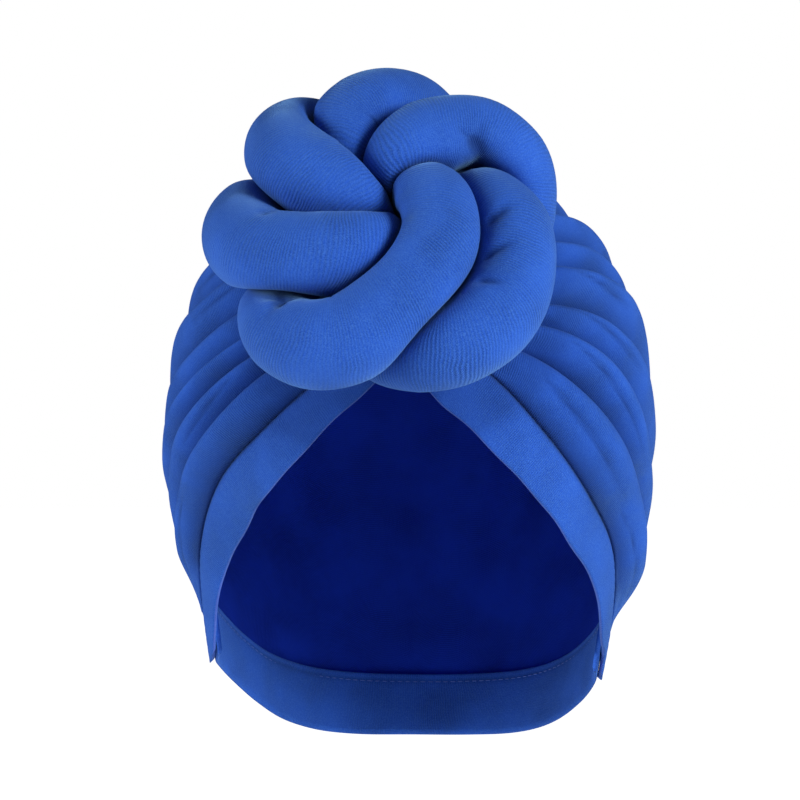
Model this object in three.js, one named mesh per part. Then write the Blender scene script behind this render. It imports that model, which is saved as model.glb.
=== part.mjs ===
// A pre-tied turban headwrap in knitted jersey. The crown is one cloth gathered into folds
// under a knot of two padded rolls. Two doubled bands frame the face, and a nape band joins
// them round the back of the neck. Millimetres, +Z up, the face side looks along -Y.
// The origin is the inside of the crown's top, where it sits on a head.
import * as THREE from 'three';
import { mergeVertices } from 'three/addons/utils/BufferGeometryUtils.js';

// The space for the head, measured from the middle of its widest level
const HEAD_HALF_WIDTH = 90;
const HEAD_FRONT = 98;
const HEAD_BACK = 108;
const HEAD_TOP = 109;
const HEAD_TAPER = 195;
const TOP_ROUNDNESS = 2;
const LOWER_ROUNDNESS = 1.6;

// Cloth
const CROWN_WALL = 1.6;
const FOLD_HEIGHT = 5.6;
const PIECE_GAP = 0.35;
const FRONT_BAND_WALL = 2.4;
const NAPE_BAND_HEIGHT = 26;
const NAPE_BAND_WALL = 2.4;
const NAPE_DROP = 100.5;
const NAPE_TUCK = 6;
const CROWN_OVERLAP = 6;

// Knot
const KNOT_RADIUS = 61.5;
const ROLL_RADIUS = 16.8;
const KNOT_SHIFT = -5.5;
const KNOT_SEAT_RISE = 34;
const KNOT_TILT = 30;
const ROLL_GAP = 1.2;

// How finely the cloth and the rolls are cut into facets
const CLOTH_ROWS = 21;
const FOLD_CUTS = [0, 0.15, 0.5, 0.85, 1];
const BAND_CUTS = 3;
const NAPE_STEPS = 44;
const TAIL_STEPS = 3;
const ROLL_STEPS = 80;
const ROLL_SIDES = 14;
const PRESS_SAMPLES = 3;
const PRESS_STEP_SHARE = 0.01;
const MERGE_WITHIN = 1e-3;
const NEAR_ZERO = 1e-6;

const DEGREE = Math.PI / 180;

// Guide lines of the crown's cloth on each side, from the front seam to the nape. A stop is
// [turn, rise] in degrees round the head: turn from the front, rise above the widest level.
// The last number is the turn at which the line meets the nape band.
const GUIDES = {
  right: [
    { share: 0.00, stops: [[0, 25], [18, 16], [33, 2], [49, -13], [65, -26]], endTurn: 82 },
    { share: 0.20, stops: [[0, 31], [27, 22], [47, 9], [66, -8], [82, -24]], endTurn: 96 },
    { share: 0.36, stops: [[0, 36], [30, 28], [53, 18], [70, 2], [90, -17]], endTurn: 109 },
    { share: 0.55, stops: [[0, 44], [38, 41], [62, 36], [86, 28], [112, 0]], endTurn: 130 },
    { share: 0.75, stops: [[0, 52], [48, 55], [84, 50], [113, 33], [139, 0]], endTurn: 155 },
    { share: 1.00, stops: [[0, 62], [0, 86], [180, 66], [180, 30], [180, -8]], endTurn: 180 },
  ],
  left: [
    { share: 0.00, stops: [[0, 25], [18, 14.5], [33, 3], [49, -9], [64, -24]], endTurn: 77 },
    { share: 0.20, stops: [[0, 31], [25, 19], [43, 5], [60, -8], [77, -22]], endTurn: 92 },
    { share: 0.36, stops: [[0, 36], [30, 26], [54, 14], [74, 2], [94, -14]], endTurn: 108 },
    { share: 0.55, stops: [[0, 44], [38, 42], [62, 34], [86, 24], [112, -2]], endTurn: 130 },
    { share: 0.75, stops: [[0, 52], [48, 55], [84, 50], [113, 33], [139, 0]], endTurn: 155 },
    { share: 1.00, stops: [[0, 62], [0, 86], [180, 66], [180, 30], [180, -8]], endTurn: 180 },
  ],
};

// Folds of the crown from the front band up to the top. Each row is one fold: where the crease
// above it lies near the knot, at the side and at the nape, and its height as a share of
// FOLD_HEIGHT in the same three places. The last fold meets its twin in one ridge.
const FOLDS = {
  right: [
    { front: 0.19, side: 0.20, nape: 0.17, high: [0.70, 0.90, 1.10] },
    { front: 0.35, side: 0.36, nape: 0.33, high: [0.90, 0.80, 0.60] },
    { front: 0.44, side: 0.47, nape: 0.44, high: [0.70, 0.75, 0.40] },
    { front: 0.55, side: 0.56, nape: 0.55, high: [0.95, 0.90, 0.50] },
    { front: 0.64, side: 0.65, nape: 0.66, high: [0.70, 0.70, 0.40] },
    { front: 0.74, side: 0.75, nape: 0.76, high: [0.80, 0.75, 0.50] },
    { front: 0.83, side: 0.84, nape: 0.85, high: [0.60, 0.55, 0.40] },
    { front: 0.92, side: 0.92, nape: 0.93, high: [0.50, 0.45, 0.40] },
    { front: 1.00, side: 1.00, nape: 1.00, high: [0.40, 0.40, 0.35] },
  ],
  left: [
    { front: 0.20, side: 0.20, nape: 0.16, high: [0.85, 0.95, 0.55] },
    { front: 0.29, side: 0.30, nape: 0.27, high: [0.80, 0.70, 0.40] },
    { front: 0.36, side: 0.37, nape: 0.38, high: [0.75, 0.75, 0.50] },
    { front: 0.44, side: 0.45, nape: 0.48, high: [0.60, 0.55, 0.45] },
    { front: 0.55, side: 0.56, nape: 0.59, high: [0.60, 0.60, 0.50] },
    { front: 0.66, side: 0.68, nape: 0.70, high: [0.60, 0.60, 0.45] },
    { front: 0.77, side: 0.79, nape: 0.81, high: [0.60, 0.55, 0.40] },
    { front: 0.89, side: 0.90, nape: 0.92, high: [0.50, 0.45, 0.40] },
    { front: 1.00, side: 1.00, nape: 1.00, high: [0.40, 0.40, 0.35] },
  ],
};
const FOLD_ROUNDNESS = 0.62;

// Distances from the knot's axis, as shares of KNOT_RADIUS, over which the folds come up
const FOLD_STARTS_AT = 0.48;
const FOLD_FULL_AT = 1.0;

// Shares of a cloth line by which the folds have risen, and over which they die away at the nape
const FOLDS_RISEN_BY = 0.1;
const FOLDS_FADE_FROM = 0.8;
const FOLDS_GONE_BY = 0.95;

// The knot presses the folds in front of the head and above this share of HEAD_TOP behind it
const COVERED_ABOVE = 0.5;

// The wall of the steepest fold, measured along the radius, as a share of CROWN_WALL
const STEEPEST_WALL = 2;
const LEAST_STEP = 0.5;

// Share of a front band by which its edge turns square to the seam
const BAND_SQUARE_BY = 0.16;

// Shape of each front band at places along it: its width, and how far its face edge is pulled
// in from the head, which is slimmer at the cheeks than the egg it is drawn as
const BAND_SHAPE = {
  right: [
    { along: 0.00, width: 15.0, pull: 0.0 },
    { along: 0.14, width: 20.5, pull: 0.0 },
    { along: 0.28, width: 20.5, pull: 0.0 },
    { along: 0.44, width: 18.8, pull: 1.0 },
    { along: 0.60, width: 17.5, pull: 1.5 },
    { along: 0.74, width: 16.0, pull: 0.0 },
    { along: 0.84, width: 14.0, pull: 0.0 },
    { along: 0.92, width: 9.0, pull: 0.0 },
    { along: 1.00, width: 6.5, pull: 0.0 },
  ],
  left: [
    { along: 0.00, width: 14.0, pull: 0.0 },
    { along: 0.14, width: 18.2, pull: 0.0 },
    { along: 0.28, width: 17.7, pull: 0.5 },
    { along: 0.44, width: 18.8, pull: 4.5 },
    { along: 0.56, width: 20.0, pull: 7.5 },
    { along: 0.66, width: 18.6, pull: 5.0 },
    { along: 0.74, width: 17.2, pull: 1.0 },
    { along: 0.86, width: 16.0, pull: 0.0 },
    { along: 1.00, width: 12.0, pull: 0.0 },
  ],
};

// How far round the head a front band still runs back over the height of the nape band
const TAIL_TURN = { right: 6, left: 8 };

// Top edge of the nape band on each side: turn from the front, and drop as shares of NAPE_DROP
const NAPE_LINE = [
  { turn: 40, right: 0.480, left: 0.460 },
  { turn: 60, right: 0.540, left: 0.520 },
  { turn: 78, right: 0.635, left: 0.585 },
  { turn: 90, right: 0.690, left: 0.620 },
  { turn: 104, right: 0.780, left: 0.700 },
  { turn: 118, right: 0.865, left: 0.800 },
  { turn: 130, right: 0.920, left: 0.885 },
  { turn: 143, right: 0.962, left: 0.945 },
  { turn: 160, right: 0.990, left: 0.985 },
  { turn: 180, right: 1.000, left: 1.000 },
];

// Middle lines of the two rolls, as [across, up, lift, girth] at chosen points, each roll a
// closed loop. Across and up are shares of KNOT_RADIUS in the knot's plane, lift is how far the
// line stands off that plane and girth how full the roll is, as shares of ROLL_RADIUS. Each
// roll comes up at the middle, sweeps out over the front and dives under its neighbour.
const ROLL_LINES = {
  knot_roll_a: [
    [0.10, 0.26, 0.10, 0.60],
    [0.20, 0.22, 0.70, 0.85],
    [0.28, 0.06, 0.95, 0.95],
    [0.29, -0.14, 1.00, 1.00],
    [0.18, -0.37, 1.00, 1.00],
    [-0.01, -0.57, 1.00, 1.00],
    [-0.21, -0.70, 1.00, 1.00],
    [-0.41, -0.70, 0.90, 1.00],
    [-0.57, -0.56, 0.50, 1.00],
    [-0.62, -0.30, -0.25, 0.90],
    [-0.45, 0.05, -0.95, 0.85],
    [-0.22, 0.20, -0.70, 0.60],
    [-0.06, 0.15, 0.10, 0.60],
    [-0.22, 0.20, 0.80, 0.80],
    [-0.42, 0.33, 1.00, 1.00],
    [-0.56, 0.51, 1.00, 1.00],
    [-0.60, 0.71, 0.75, 1.00],
    [-0.54, 0.95, 0.20, 0.95],
    [-0.43, 1.08, -0.55, 0.90],
    [-0.27, 0.92, -0.95, 0.80],
    [-0.14, 0.58, -0.60, 0.60],
    [-0.02, 0.32, 0.20, 0.60],
    [0.06, 0.45, 0.85, 0.85],
    [0.22, 0.60, 1.00, 1.00],
    [0.39, 0.68, 1.00, 1.00],
    [0.55, 0.69, 0.90, 1.00],
    [0.68, 0.62, 0.60, 1.00],
    [0.74, 0.48, 0.05, 0.95],
    [0.71, 0.30, -0.65, 0.90],
    [0.54, 0.10, -1.00, 0.95],
    [0.29, 0.13, -0.75, 0.65],
  ],
  knot_roll_b: [
    [0.03, -0.01, 0.10, 0.65],
    [-0.13, -0.15, 0.75, 0.85],
    [-0.32, -0.21, 1.00, 0.95],
    [-0.51, -0.20, 1.00, 1.00],
    [-0.68, -0.13, 0.90, 1.00],
    [-0.81, 0.06, 0.50, 1.04],
    [-0.80, 0.32, -0.20, 1.00],
    [-0.62, 0.52, -0.90, 0.85],
    [-0.36, 0.53, -0.75, 0.65],
    [-0.18, 0.48, 0.10, 0.60],
    [-0.24, 0.58, 0.65, 0.80],
    [-0.25, 0.75, 0.85, 0.92],
    [-0.15, 0.91, 0.88, 0.98],
    [-0.01, 1.04, 0.70, 0.98],
    [0.13, 1.12, 0.20, 0.95],
    [0.27, 1.05, -0.55, 0.90],
    [0.40, 0.75, -0.95, 0.80],
    [0.46, 0.45, -0.20, 0.75],
    [0.59, 0.22, 0.55, 0.90],
    [0.69, 0.04, 0.80, 1.00],
    [0.72, -0.13, 0.82, 1.00],
    [0.69, -0.35, 0.76, 1.00],
    [0.56, -0.54, 0.70, 1.00],
    [0.39, -0.64, 0.55, 1.00],
    [0.19, -0.64, 0.20, 1.00],
    [0.00, -0.52, -0.50, 0.90],
    [-0.13, -0.25, -1.00, 0.85],
    [-0.04, 0.03, -0.70, 0.65],
  ],
};
const KNOT_STAND_SHARE = 1.75;
const LEAST_GIRTH = 0.14;
const OWN_REACH = 2.4;

// Finishes
const JERSEY = new THREE.MeshStandardMaterial({ color: 0x1f4fc0, roughness: 0.85, metalness: 0 });
const BAND_CLOTH = new THREE.MeshStandardMaterial({ color: 0x2453b4, roughness: 0.82, metalness: 0 });

// Small helpers
const vector = (x, y, z) => new THREE.Vector3(x, y, z);
const mix = (a, b, t) => a + (b - a) * t;

function smooth(low, high, value) {
  const t = THREE.MathUtils.clamp((value - low) / (high - low), 0, 1);
  return t * t * (3 - 2 * t);
}

// The unit vector at a turn from the front and a rise above the widest level
function aim(turn, rise) {
  const level = Math.cos(rise * DEGREE);
  const across = level * Math.sin(turn * DEGREE);
  const forward = level * Math.cos(turn * DEGREE);
  return vector(across, -forward, Math.sin(rise * DEGREE));
}

// How far the head space reaches from its middle along a unit vector
function headReach(way) {
  const depth = way.y < 0 ? HEAD_FRONT : HEAD_BACK;
  const round = way.z > 0 ? TOP_ROUNDNESS : LOWER_ROUNDNESS;
  const level = Math.hypot(way.x / HEAD_HALF_WIDTH, way.y / depth);
  const height = Math.abs(way.z) / (way.z > 0 ? HEAD_TOP : HEAD_TAPER);
  return (level ** round + height ** round) ** (-1 / round);
}

// The point on the head space at a turn, a given drop below the widest level
function lowPoint(turn, drop) {
  const depth = Math.cos(turn * DEGREE) > 0 ? HEAD_FRONT : HEAD_BACK;
  const across = Math.sin(turn * DEGREE);
  const forward = Math.cos(turn * DEGREE);
  const level = 1 / Math.hypot(across / HEAD_HALF_WIDTH, forward / depth);
  const taper = (1 - (drop / HEAD_TAPER) ** LOWER_ROUNDNESS) ** (1 / LOWER_ROUNDNESS);
  return vector(level * taper * across, -level * taper * forward, -drop);
}

// A value, or a vector, on a smooth curve through evenly spaced stops
function between(stops, t) {
  const place = THREE.MathUtils.clamp(t, 0, 1) * (stops.length - 1);
  const index = Math.min(Math.floor(place), stops.length - 2);
  const f = place - index;
  const pick = (k) => stops[THREE.MathUtils.clamp(k, 0, stops.length - 1)];
  const [a, b, c, d] = [pick(index - 1), pick(index), pick(index + 1), pick(index + 2)];
  const curve = (p, q, r, s) => {
    const bend = 2 * p - 5 * q + 4 * r - s;
    const twist = 3 * (q - r) + s - p;
    return q + (f / 2) * (r - p + f * (bend + f * twist));
  };
  if (typeof a === 'number') return curve(a, b, c, d);
  return vector(curve(a.x, b.x, c.x, d.x), curve(a.y, b.y, c.y, d.y), curve(a.z, b.z, c.z, d.z));
}

// The two rows of a table that a share falls between, and how far along it lies
function bracket(rows, key, value) {
  const next = rows.findIndex((row) => row[key] >= value - NEAR_ZERO);
  const high = rows[Math.max(1, next < 0 ? rows.length - 1 : next)];
  const low = rows[rows.indexOf(high) - 1];
  return { low, high, t: (value - low[key]) / (high[key] - low[key]) };
}

// Drop of the nape band's top edge on one side, at a turn
function napeDrop(side, turn) {
  const { low, high, t } = bracket(NAPE_LINE, 'turn', turn);
  return mix(low[side], high[side], t) * NAPE_DROP;
}

// The drop reached by going down the head's slope from the nape band's top edge
function bandDrop(side, turn, distance) {
  const top = napeDrop(side, turn);
  const slope = lowPoint(turn, top).distanceTo(lowPoint(turn, top + 1));
  return top + distance / slope;
}

// The crown's cloth line at a share of the way from the front band to the top
function clothLine(side, share) {
  const { low, high, t } = bracket(GUIDES[side], 'share', share);
  const stops = low.stops.map((stop, k) => aim(...stop).lerp(aim(...high.stops[k]), t).normalize());
  const endTurn = mix(low.endTurn, high.endTurn, t);
  stops.push(lowPoint(endTurn, bandDrop(side, endTurn, CROWN_OVERLAP)).normalize());
  return stops;
}

const clothWay = (side, share, along) => between(clothLine(side, share), along).normalize();

// Knot frame: seat on the crown, its plane's two axes and the way it faces
const knotFace = vector(0, -Math.cos(KNOT_TILT * DEGREE), Math.sin(KNOT_TILT * DEGREE));
const knotUp = vector(0, Math.sin(KNOT_TILT * DEGREE), Math.cos(KNOT_TILT * DEGREE));
const seatWay = aim(0, KNOT_SEAT_RISE);
const knotSeat = seatWay.clone().multiplyScalar(headReach(seatWay) + CROWN_WALL).setX(KNOT_SHIFT);
const knotStand = KNOT_STAND_SHARE * ROLL_RADIUS;

// How far a point lies from the knot's axis, as a share of the knot's radius
function knotDistance(point) {
  const offset = point.clone().sub(knotSeat);
  const along = offset.dot(knotFace);
  return Math.sqrt(Math.max(0, offset.lengthSq() - along * along)) / KNOT_RADIUS;
}

// Folds lie flat under the knot and come up past its edge. Behind the head nothing presses them.
function foldFreedom(point) {
  const covered = point.y < 0 || point.z > HEAD_TOP * COVERED_ABOVE;
  return covered ? smooth(FOLD_STARTS_AT, FOLD_FULL_AT, knotDistance(point)) : 1;
}

// Share of the way up at which a crease lies, at a given place along the cloth
function creaseShare(side, index, along) {
  if (index < 0) return 0;
  const fold = FOLDS[side][index];
  const atSeam = (index + 1) / FOLDS[side].length;
  return between([atSeam, fold.front, fold.side, fold.nape], along);
}

// Shares across one row of the cloth, with the height of the folds there
function rowAcross(side, along) {
  const folds = FOLDS[side];
  const fading = 1 - smooth(FOLDS_FADE_FROM, FOLDS_GONE_BY, along);
  const settled = smooth(0, FOLDS_RISEN_BY, along) * fading;
  const across = [{ share: 0, high: 0 }];
  folds.forEach((fold, index) => {
    const low = creaseShare(side, index - 1, along);
    const high = creaseShare(side, index, along);
    const last = index === folds.length - 1;
    const top = between(fold.high, along) * FOLD_HEIGHT * settled;
    for (const cut of FOLD_CUTS.slice(1)) {
      const round = last ? cut / 2 : cut;
      const swell = Math.max(0, 4 * round * (1 - round)) ** FOLD_ROUNDNESS;
      across.push({ share: mix(low, high, cut), high: top * swell });
    }
  });
  return across;
}

// Mesh building: a closed shell from an outer grid and an inner grid of the same layout, each
// square cut along its shorter diagonal. Where the first row meets itself in a seam, it has no rim.
function shellFromGrids(outer, inner, { flip = false, seam = false }) {
  const rows = outer.length;
  const columns = outer[0].length;
  const positions = [];
  const triangle = (a, b, c) => {
    const order = flip ? [a, c, b] : [a, b, c];
    order.forEach((p) => positions.push(p.x, p.y, p.z));
  };
  const quad = (a, b, c, d) => {
    triangle(a, b, c);
    triangle(a, c, d);
  };
  for (let i = 0; i < rows - 1; i += 1) {
    for (let j = 0; j < columns - 1; j += 1) {
      const corners = [[i, j], [i + 1, j], [i + 1, j + 1], [i, j + 1]];
      const [a, b, c, d] = corners.map(([m, n]) => outer[m][n]);
      if (a.distanceTo(c) > b.distanceTo(d)) corners.push(corners.shift());
      quad(...corners.map(([m, n]) => outer[m][n]));
      quad(...[0, 3, 2, 1].map((k) => inner[corners[k][0]][corners[k][1]]));
    }
    quad(outer[i][0], inner[i][0], inner[i + 1][0], outer[i + 1][0]);
    const end = columns - 1;
    quad(outer[i + 1][end], inner[i + 1][end], inner[i][end], outer[i][end]);
  }
  for (let j = 0; j < columns - 1; j += 1) {
    if (!seam) quad(outer[0][j + 1], inner[0][j + 1], inner[0][j], outer[0][j]);
    const last = rows - 1;
    quad(outer[last][j], inner[last][j], inner[last][j + 1], outer[last][j + 1]);
  }
  return positions;
}

function closedGeometry(positions) {
  const raw = new THREE.BufferGeometry();
  raw.setAttribute('position', new THREE.Float32BufferAttribute(positions, 3));
  const merged = mergeVertices(raw, MERGE_WITHIN);
  const corners = merged.index.array;
  const kept = [];
  for (let i = 0; i < corners.length; i += 3) {
    const [a, b, c] = [corners[i], corners[i + 1], corners[i + 2]];
    if (a !== b && b !== c && c !== a) kept.push(a, b, c);
  }
  merged.setIndex(kept);
  merged.computeVertexNormals();
  return merged;
}

function namedMesh(name, geometry, material) {
  const mesh = new THREE.Mesh(geometry, material);
  mesh.name = name;
  return mesh;
}

// Front band: the cloth's front edge, and the way across the band towards the face opening
function hemWays(side) {
  const ways = [];
  for (let row = 0; row <= CLOTH_ROWS; row += 1) ways.push(clothWay(side, 0, row / CLOTH_ROWS));
  return ways;
}

function openingWay(ways, index) {
  const before = ways[Math.max(0, index - 1)];
  const after = ways[Math.min(ways.length - 1, index + 1)];
  const forward = after.clone().sub(before).normalize();
  const acrossBand = forward.cross(ways[index]).normalize();
  const straightDown = vector(0, 0, -1);
  const turned = smooth(0, BAND_SQUARE_BY, index / ways.length);
  return straightDown.lerp(acrossBand, turned).projectOnPlane(ways[index]).normalize();
}

// Moves from a direction along the head's skin by a distance in millimetres
function slide(way, towards, distance) {
  const angle = distance / headReach(way);
  const ahead = way.clone().multiplyScalar(Math.cos(angle));
  return ahead.addScaledVector(towards, Math.sin(angle)).normalize();
}

function frontBand(side, name) {
  const ways = hemWays(side);
  const endTurn = GUIDES[side][0].endTurn;
  const start = bandDrop(side, endTurn, CROWN_OVERLAP);
  const end = bandDrop(side, endTurn, NAPE_BAND_HEIGHT);
  for (let step = 1; step <= TAIL_STEPS; step += 1) {
    const t = step / TAIL_STEPS;
    ways.push(lowPoint(endTurn + TAIL_TURN[side] * t, mix(start, end, t)).normalize());
  }
  const grid = (offset) => ways.map((way, index) => {
    const towards = openingWay(ways, index);
    const { low, high, t } = bracket(BAND_SHAPE[side], 'along', index / (ways.length - 1));
    const width = mix(low.width, high.width, t);
    const pull = mix(low.pull, high.pull, t);
    const row = [];
    for (let cut = 0; cut <= BAND_CUTS; cut += 1) {
      const across = cut / BAND_CUTS;
      const place = slide(way, towards, Math.sqrt(width ** 2 - pull ** 2) * across);
      const point = place.multiplyScalar(headReach(place) + offset - pull * across);
      point.x = Math.max(point.x, PIECE_GAP / 2);
      if (side === 'left') point.x *= -1;
      row.push(point);
    }
    return row;
  });
  const positions = shellFromGrids(grid(FRONT_BAND_WALL), grid(0), { flip: side === 'right' });
  return namedMesh(name, closedGeometry(positions), BAND_CLOTH);
}

// Crown: both sides share the front seam under the knot and the line over the top
function crownSide(side) {
  const hem = hemWays(side);
  const outer = [];
  const inner = [];
  for (let row = 0; row <= CLOTH_ROWS; row += 1) {
    const along = row / CLOTH_ROWS;
    const across = rowAcross(side, along);
    const ways = across.map(({ share }) => clothWay(side, share, along));
    ways[0] = slide(ways[0], openingWay(hem, row).negate(), PIECE_GAP);
    const bases = ways.map((way) => way.clone().multiplyScalar(headReach(way)));
    const raised = across.map(({ high }, k) => high * foldFreedom(bases[k]));
    const steep = across.map((_, k) => {
      const beside = [k - 1, k + 1].filter((n) => n >= 0 && n < across.length);
      const slopes = beside.map((n) => {
        const step = Math.max(LEAST_STEP, bases[n].distanceTo(bases[k]));
        return Math.abs(raised[n] - raised[k]) / step;
      });
      return Math.min(STEEPEST_WALL, Math.hypot(1, Math.max(...slopes)));
    });
    const place = (k, offset) => {
      const point = ways[k].clone().multiplyScalar(headReach(ways[k]) + offset);
      if (Math.abs(point.x) < NEAR_ZERO) point.x = 0;
      if (side === 'left') point.x *= -1;
      return point;
    };
    outer.push(ways.map((_, k) => place(k, raised[k] + CROWN_WALL)));
    inner.push(ways.map((_, k) => place(k, Math.max(0, raised[k] + CROWN_WALL * (1 - steep[k])))));
  }
  return { outer, inner };
}

function crown() {
  const right = crownSide('right');
  const left = crownSide('left');
  const joined = (r, l) => r.map((row, k) => [...row, ...l[k].slice(0, -1).reverse()]);
  const outer = joined(right.outer, left.outer);
  const inner = joined(right.inner, left.inner);
  const positions = shellFromGrids(outer, inner, { seam: true });
  return namedMesh('crown', closedGeometry(positions), JERSEY);
}

// Nape band: from inside one front band, round the neck, to inside the other
function napeBand() {
  const tuck = NAPE_TUCK / (HEAD_HALF_WIDTH * DEGREE);
  const first = -(GUIDES.left[0].endTurn - tuck);
  const last = GUIDES.right[0].endTurn - tuck;
  const sweep = 360 - last + first;
  const grid = (offset) => Array.from({ length: NAPE_STEPS + 1 }, (_, step) => {
    const turn = last + (sweep * step) / NAPE_STEPS;
    const side = turn > 180 ? 'left' : 'right';
    const fromFront = turn > 180 ? 360 - turn : turn;
    return Array.from({ length: BAND_CUTS + 1 }, (__, cut) => {
      const drop = bandDrop(side, fromFront, (NAPE_BAND_HEIGHT * cut) / BAND_CUTS);
      const point = lowPoint(turn, drop);
      return point.multiplyScalar((point.length() + offset) / point.length());
    });
  });
  const positions = shellFromGrids(grid(-PIECE_GAP), grid(-PIECE_GAP - NAPE_BAND_WALL), { flip: true });
  return namedMesh('nape_band', closedGeometry(positions), BAND_CLOTH);
}

// Knot rolls: evenly spaced stations along each closed middle line
function rollStations(rows) {
  const points = rows.map(([across, up, lift]) => {
    const dome = (KNOT_RADIUS ** 2 * (across ** 2 + up ** 2)) / (2 * HEAD_TOP);
    return knotSeat.clone()
      .addScaledVector(vector(1, 0, 0), across * KNOT_RADIUS)
      .addScaledVector(knotUp, up * KNOT_RADIUS)
      .addScaledVector(knotFace, knotStand + lift * ROLL_RADIUS - dome);
  });
  const line = new THREE.CatmullRomCurve3(points, true, 'centripetal');
  const girths = rows.map((row) => row[3]);
  const count = ROLL_STEPS * PRESS_SAMPLES;
  return Array.from({ length: count }, (_, step) => {
    const t = line.getUtoTmapping(step / count);
    const place = t * rows.length;
    const index = Math.floor(place) % rows.length;
    const girth = mix(girths[index], girths[(index + 1) % rows.length], place - Math.floor(place));
    return { centre: line.getPoint(t), ahead: line.getTangent(t), girth: girth * ROLL_RADIUS };
  });
}

// A roll is round where it is free. It stops short of the plane half way to any other stretch
// of roll, and above the crown, so neighbours press flat against each other.
function rollRadius(station, way, others) {
  let radius = station.girth;
  for (const other of others) {
    const offset = other.clone().sub(station.centre);
    const facing = offset.dot(way);
    const distance = offset.length();
    const halfWay = ((distance - ROLL_GAP) / 2) * (distance / facing);
    if (facing > NEAR_ZERO) radius = Math.min(radius, halfWay);
  }
  const clear = (r) => {
    const point = station.centre.clone().addScaledVector(way, r);
    const outward = point.clone().normalize();
    const folds = FOLD_HEIGHT * smooth(FOLD_STARTS_AT, FOLD_FULL_AT, knotDistance(point));
    return point.length() - headReach(outward) - CROWN_WALL - folds - PIECE_GAP;
  };
  const least = LEAST_GIRTH * ROLL_RADIUS;
  while (radius > least && clear(radius) < 0) radius -= PRESS_STEP_SHARE * ROLL_RADIUS;
  return Math.max(radius, least);
}

function rollMesh(name, own, foreign) {
  const gaps = own.map((s, k) => s.centre.distanceTo(own[(k + 1) % own.length].centre));
  const meanGap = gaps.reduce((sum, gap) => sum + gap, 0) / gaps.length;
  const near = Math.ceil((OWN_REACH * ROLL_RADIUS) / meanGap);
  const shown = own.filter((_, k) => k % PRESS_SAMPLES === 0);
  const rings = shown.map((station) => {
    const k = own.indexOf(station);
    const outward = knotFace.clone().projectOnPlane(station.ahead).normalize();
    const sideways = station.ahead.clone().cross(outward).normalize();
    const others = foreign.map((s) => s.centre);
    own.forEach((s, n) => {
      const steps = Math.min(Math.abs(n - k), own.length - Math.abs(n - k));
      if (steps > near) others.push(s.centre);
    });
    return Array.from({ length: ROLL_SIDES }, (_, side) => {
      const angle = (2 * Math.PI * side) / ROLL_SIDES;
      const way = outward.clone().multiplyScalar(Math.cos(angle));
      way.addScaledVector(sideways, Math.sin(angle));
      return station.centre.clone().addScaledVector(way, rollRadius(station, way, others));
    });
  });
  const positions = [];
  rings.forEach((ring, k) => {
    const next = rings[(k + 1) % rings.length];
    ring.forEach((a, side) => {
      const b = ring[(side + 1) % ROLL_SIDES];
      const c = next[(side + 1) % ROLL_SIDES];
      const d = next[side];
      [a, b, c, a, c, d].forEach((p) => positions.push(p.x, p.y, p.z));
    });
  });
  return namedMesh(name, closedGeometry(positions), JERSEY);
}

// Assembly, moved down so that the inside of the crown's top is the origin
const turban = new THREE.Group();
const onHead = new THREE.Group();
onHead.position.z = -HEAD_TOP;
turban.add(onHead);
onHead.add(crown());
onHead.add(frontBand('left', 'front_band_left'));
onHead.add(frontBand('right', 'front_band_right'));
onHead.add(napeBand());
const rolls = Object.entries(ROLL_LINES).map(([name, rows]) => ({
  name,
  stations: rollStations(rows),
}));
rolls.forEach(({ name, stations }, k) => {
  onHead.add(rollMesh(name, stations, rolls[1 - k].stations));
});

export default turban;
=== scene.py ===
# %% [markdown]
# A pre-tied turban headwrap, in royal-blue cotton jersey.
# The real one is sewn from one stretchy cloth. The crown is gathered into soft folds, two doubled
# bands frame the face, a nape band joins them round the neck, and a knot of two padded rolls
# sits on the front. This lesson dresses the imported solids: each cell makes one piece or finish.
# Lengths are metres, +Z is up, and the face side looks along -Y.

# %% Load the frame
import math

import bpy
import numpy as np
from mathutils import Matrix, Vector


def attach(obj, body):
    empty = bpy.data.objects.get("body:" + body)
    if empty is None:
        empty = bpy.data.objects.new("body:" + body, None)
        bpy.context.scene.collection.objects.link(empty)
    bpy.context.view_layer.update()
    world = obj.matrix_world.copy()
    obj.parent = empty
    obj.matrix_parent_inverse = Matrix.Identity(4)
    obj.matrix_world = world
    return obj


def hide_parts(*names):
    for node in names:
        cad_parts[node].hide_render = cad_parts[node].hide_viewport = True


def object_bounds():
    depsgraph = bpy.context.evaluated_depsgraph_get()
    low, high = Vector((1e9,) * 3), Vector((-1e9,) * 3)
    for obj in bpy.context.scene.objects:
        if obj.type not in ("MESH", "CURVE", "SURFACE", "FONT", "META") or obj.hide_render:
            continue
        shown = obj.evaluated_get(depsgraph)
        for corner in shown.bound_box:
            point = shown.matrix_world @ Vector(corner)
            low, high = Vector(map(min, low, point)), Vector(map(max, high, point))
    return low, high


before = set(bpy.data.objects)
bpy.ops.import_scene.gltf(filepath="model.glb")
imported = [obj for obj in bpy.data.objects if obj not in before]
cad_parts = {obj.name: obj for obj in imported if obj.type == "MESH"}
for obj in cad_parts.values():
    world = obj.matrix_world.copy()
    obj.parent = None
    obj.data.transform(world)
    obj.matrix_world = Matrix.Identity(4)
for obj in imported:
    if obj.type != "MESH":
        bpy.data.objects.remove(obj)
cad_low, cad_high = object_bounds()
print("CAD box", [round(side, 4) for side in cad_high - cad_low])

# %% [markdown]
# The head's form carries everything.
# A worn wrap takes its shape from the head inside it, so the first thing to have is that form.
# It could be sculpted, but a formula is easier to follow and never dents: an egg that is
# rounder above its widest level and tapers below it. Every cloth point is then a direction from
# the middle of the head and a height above its skin.

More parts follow.
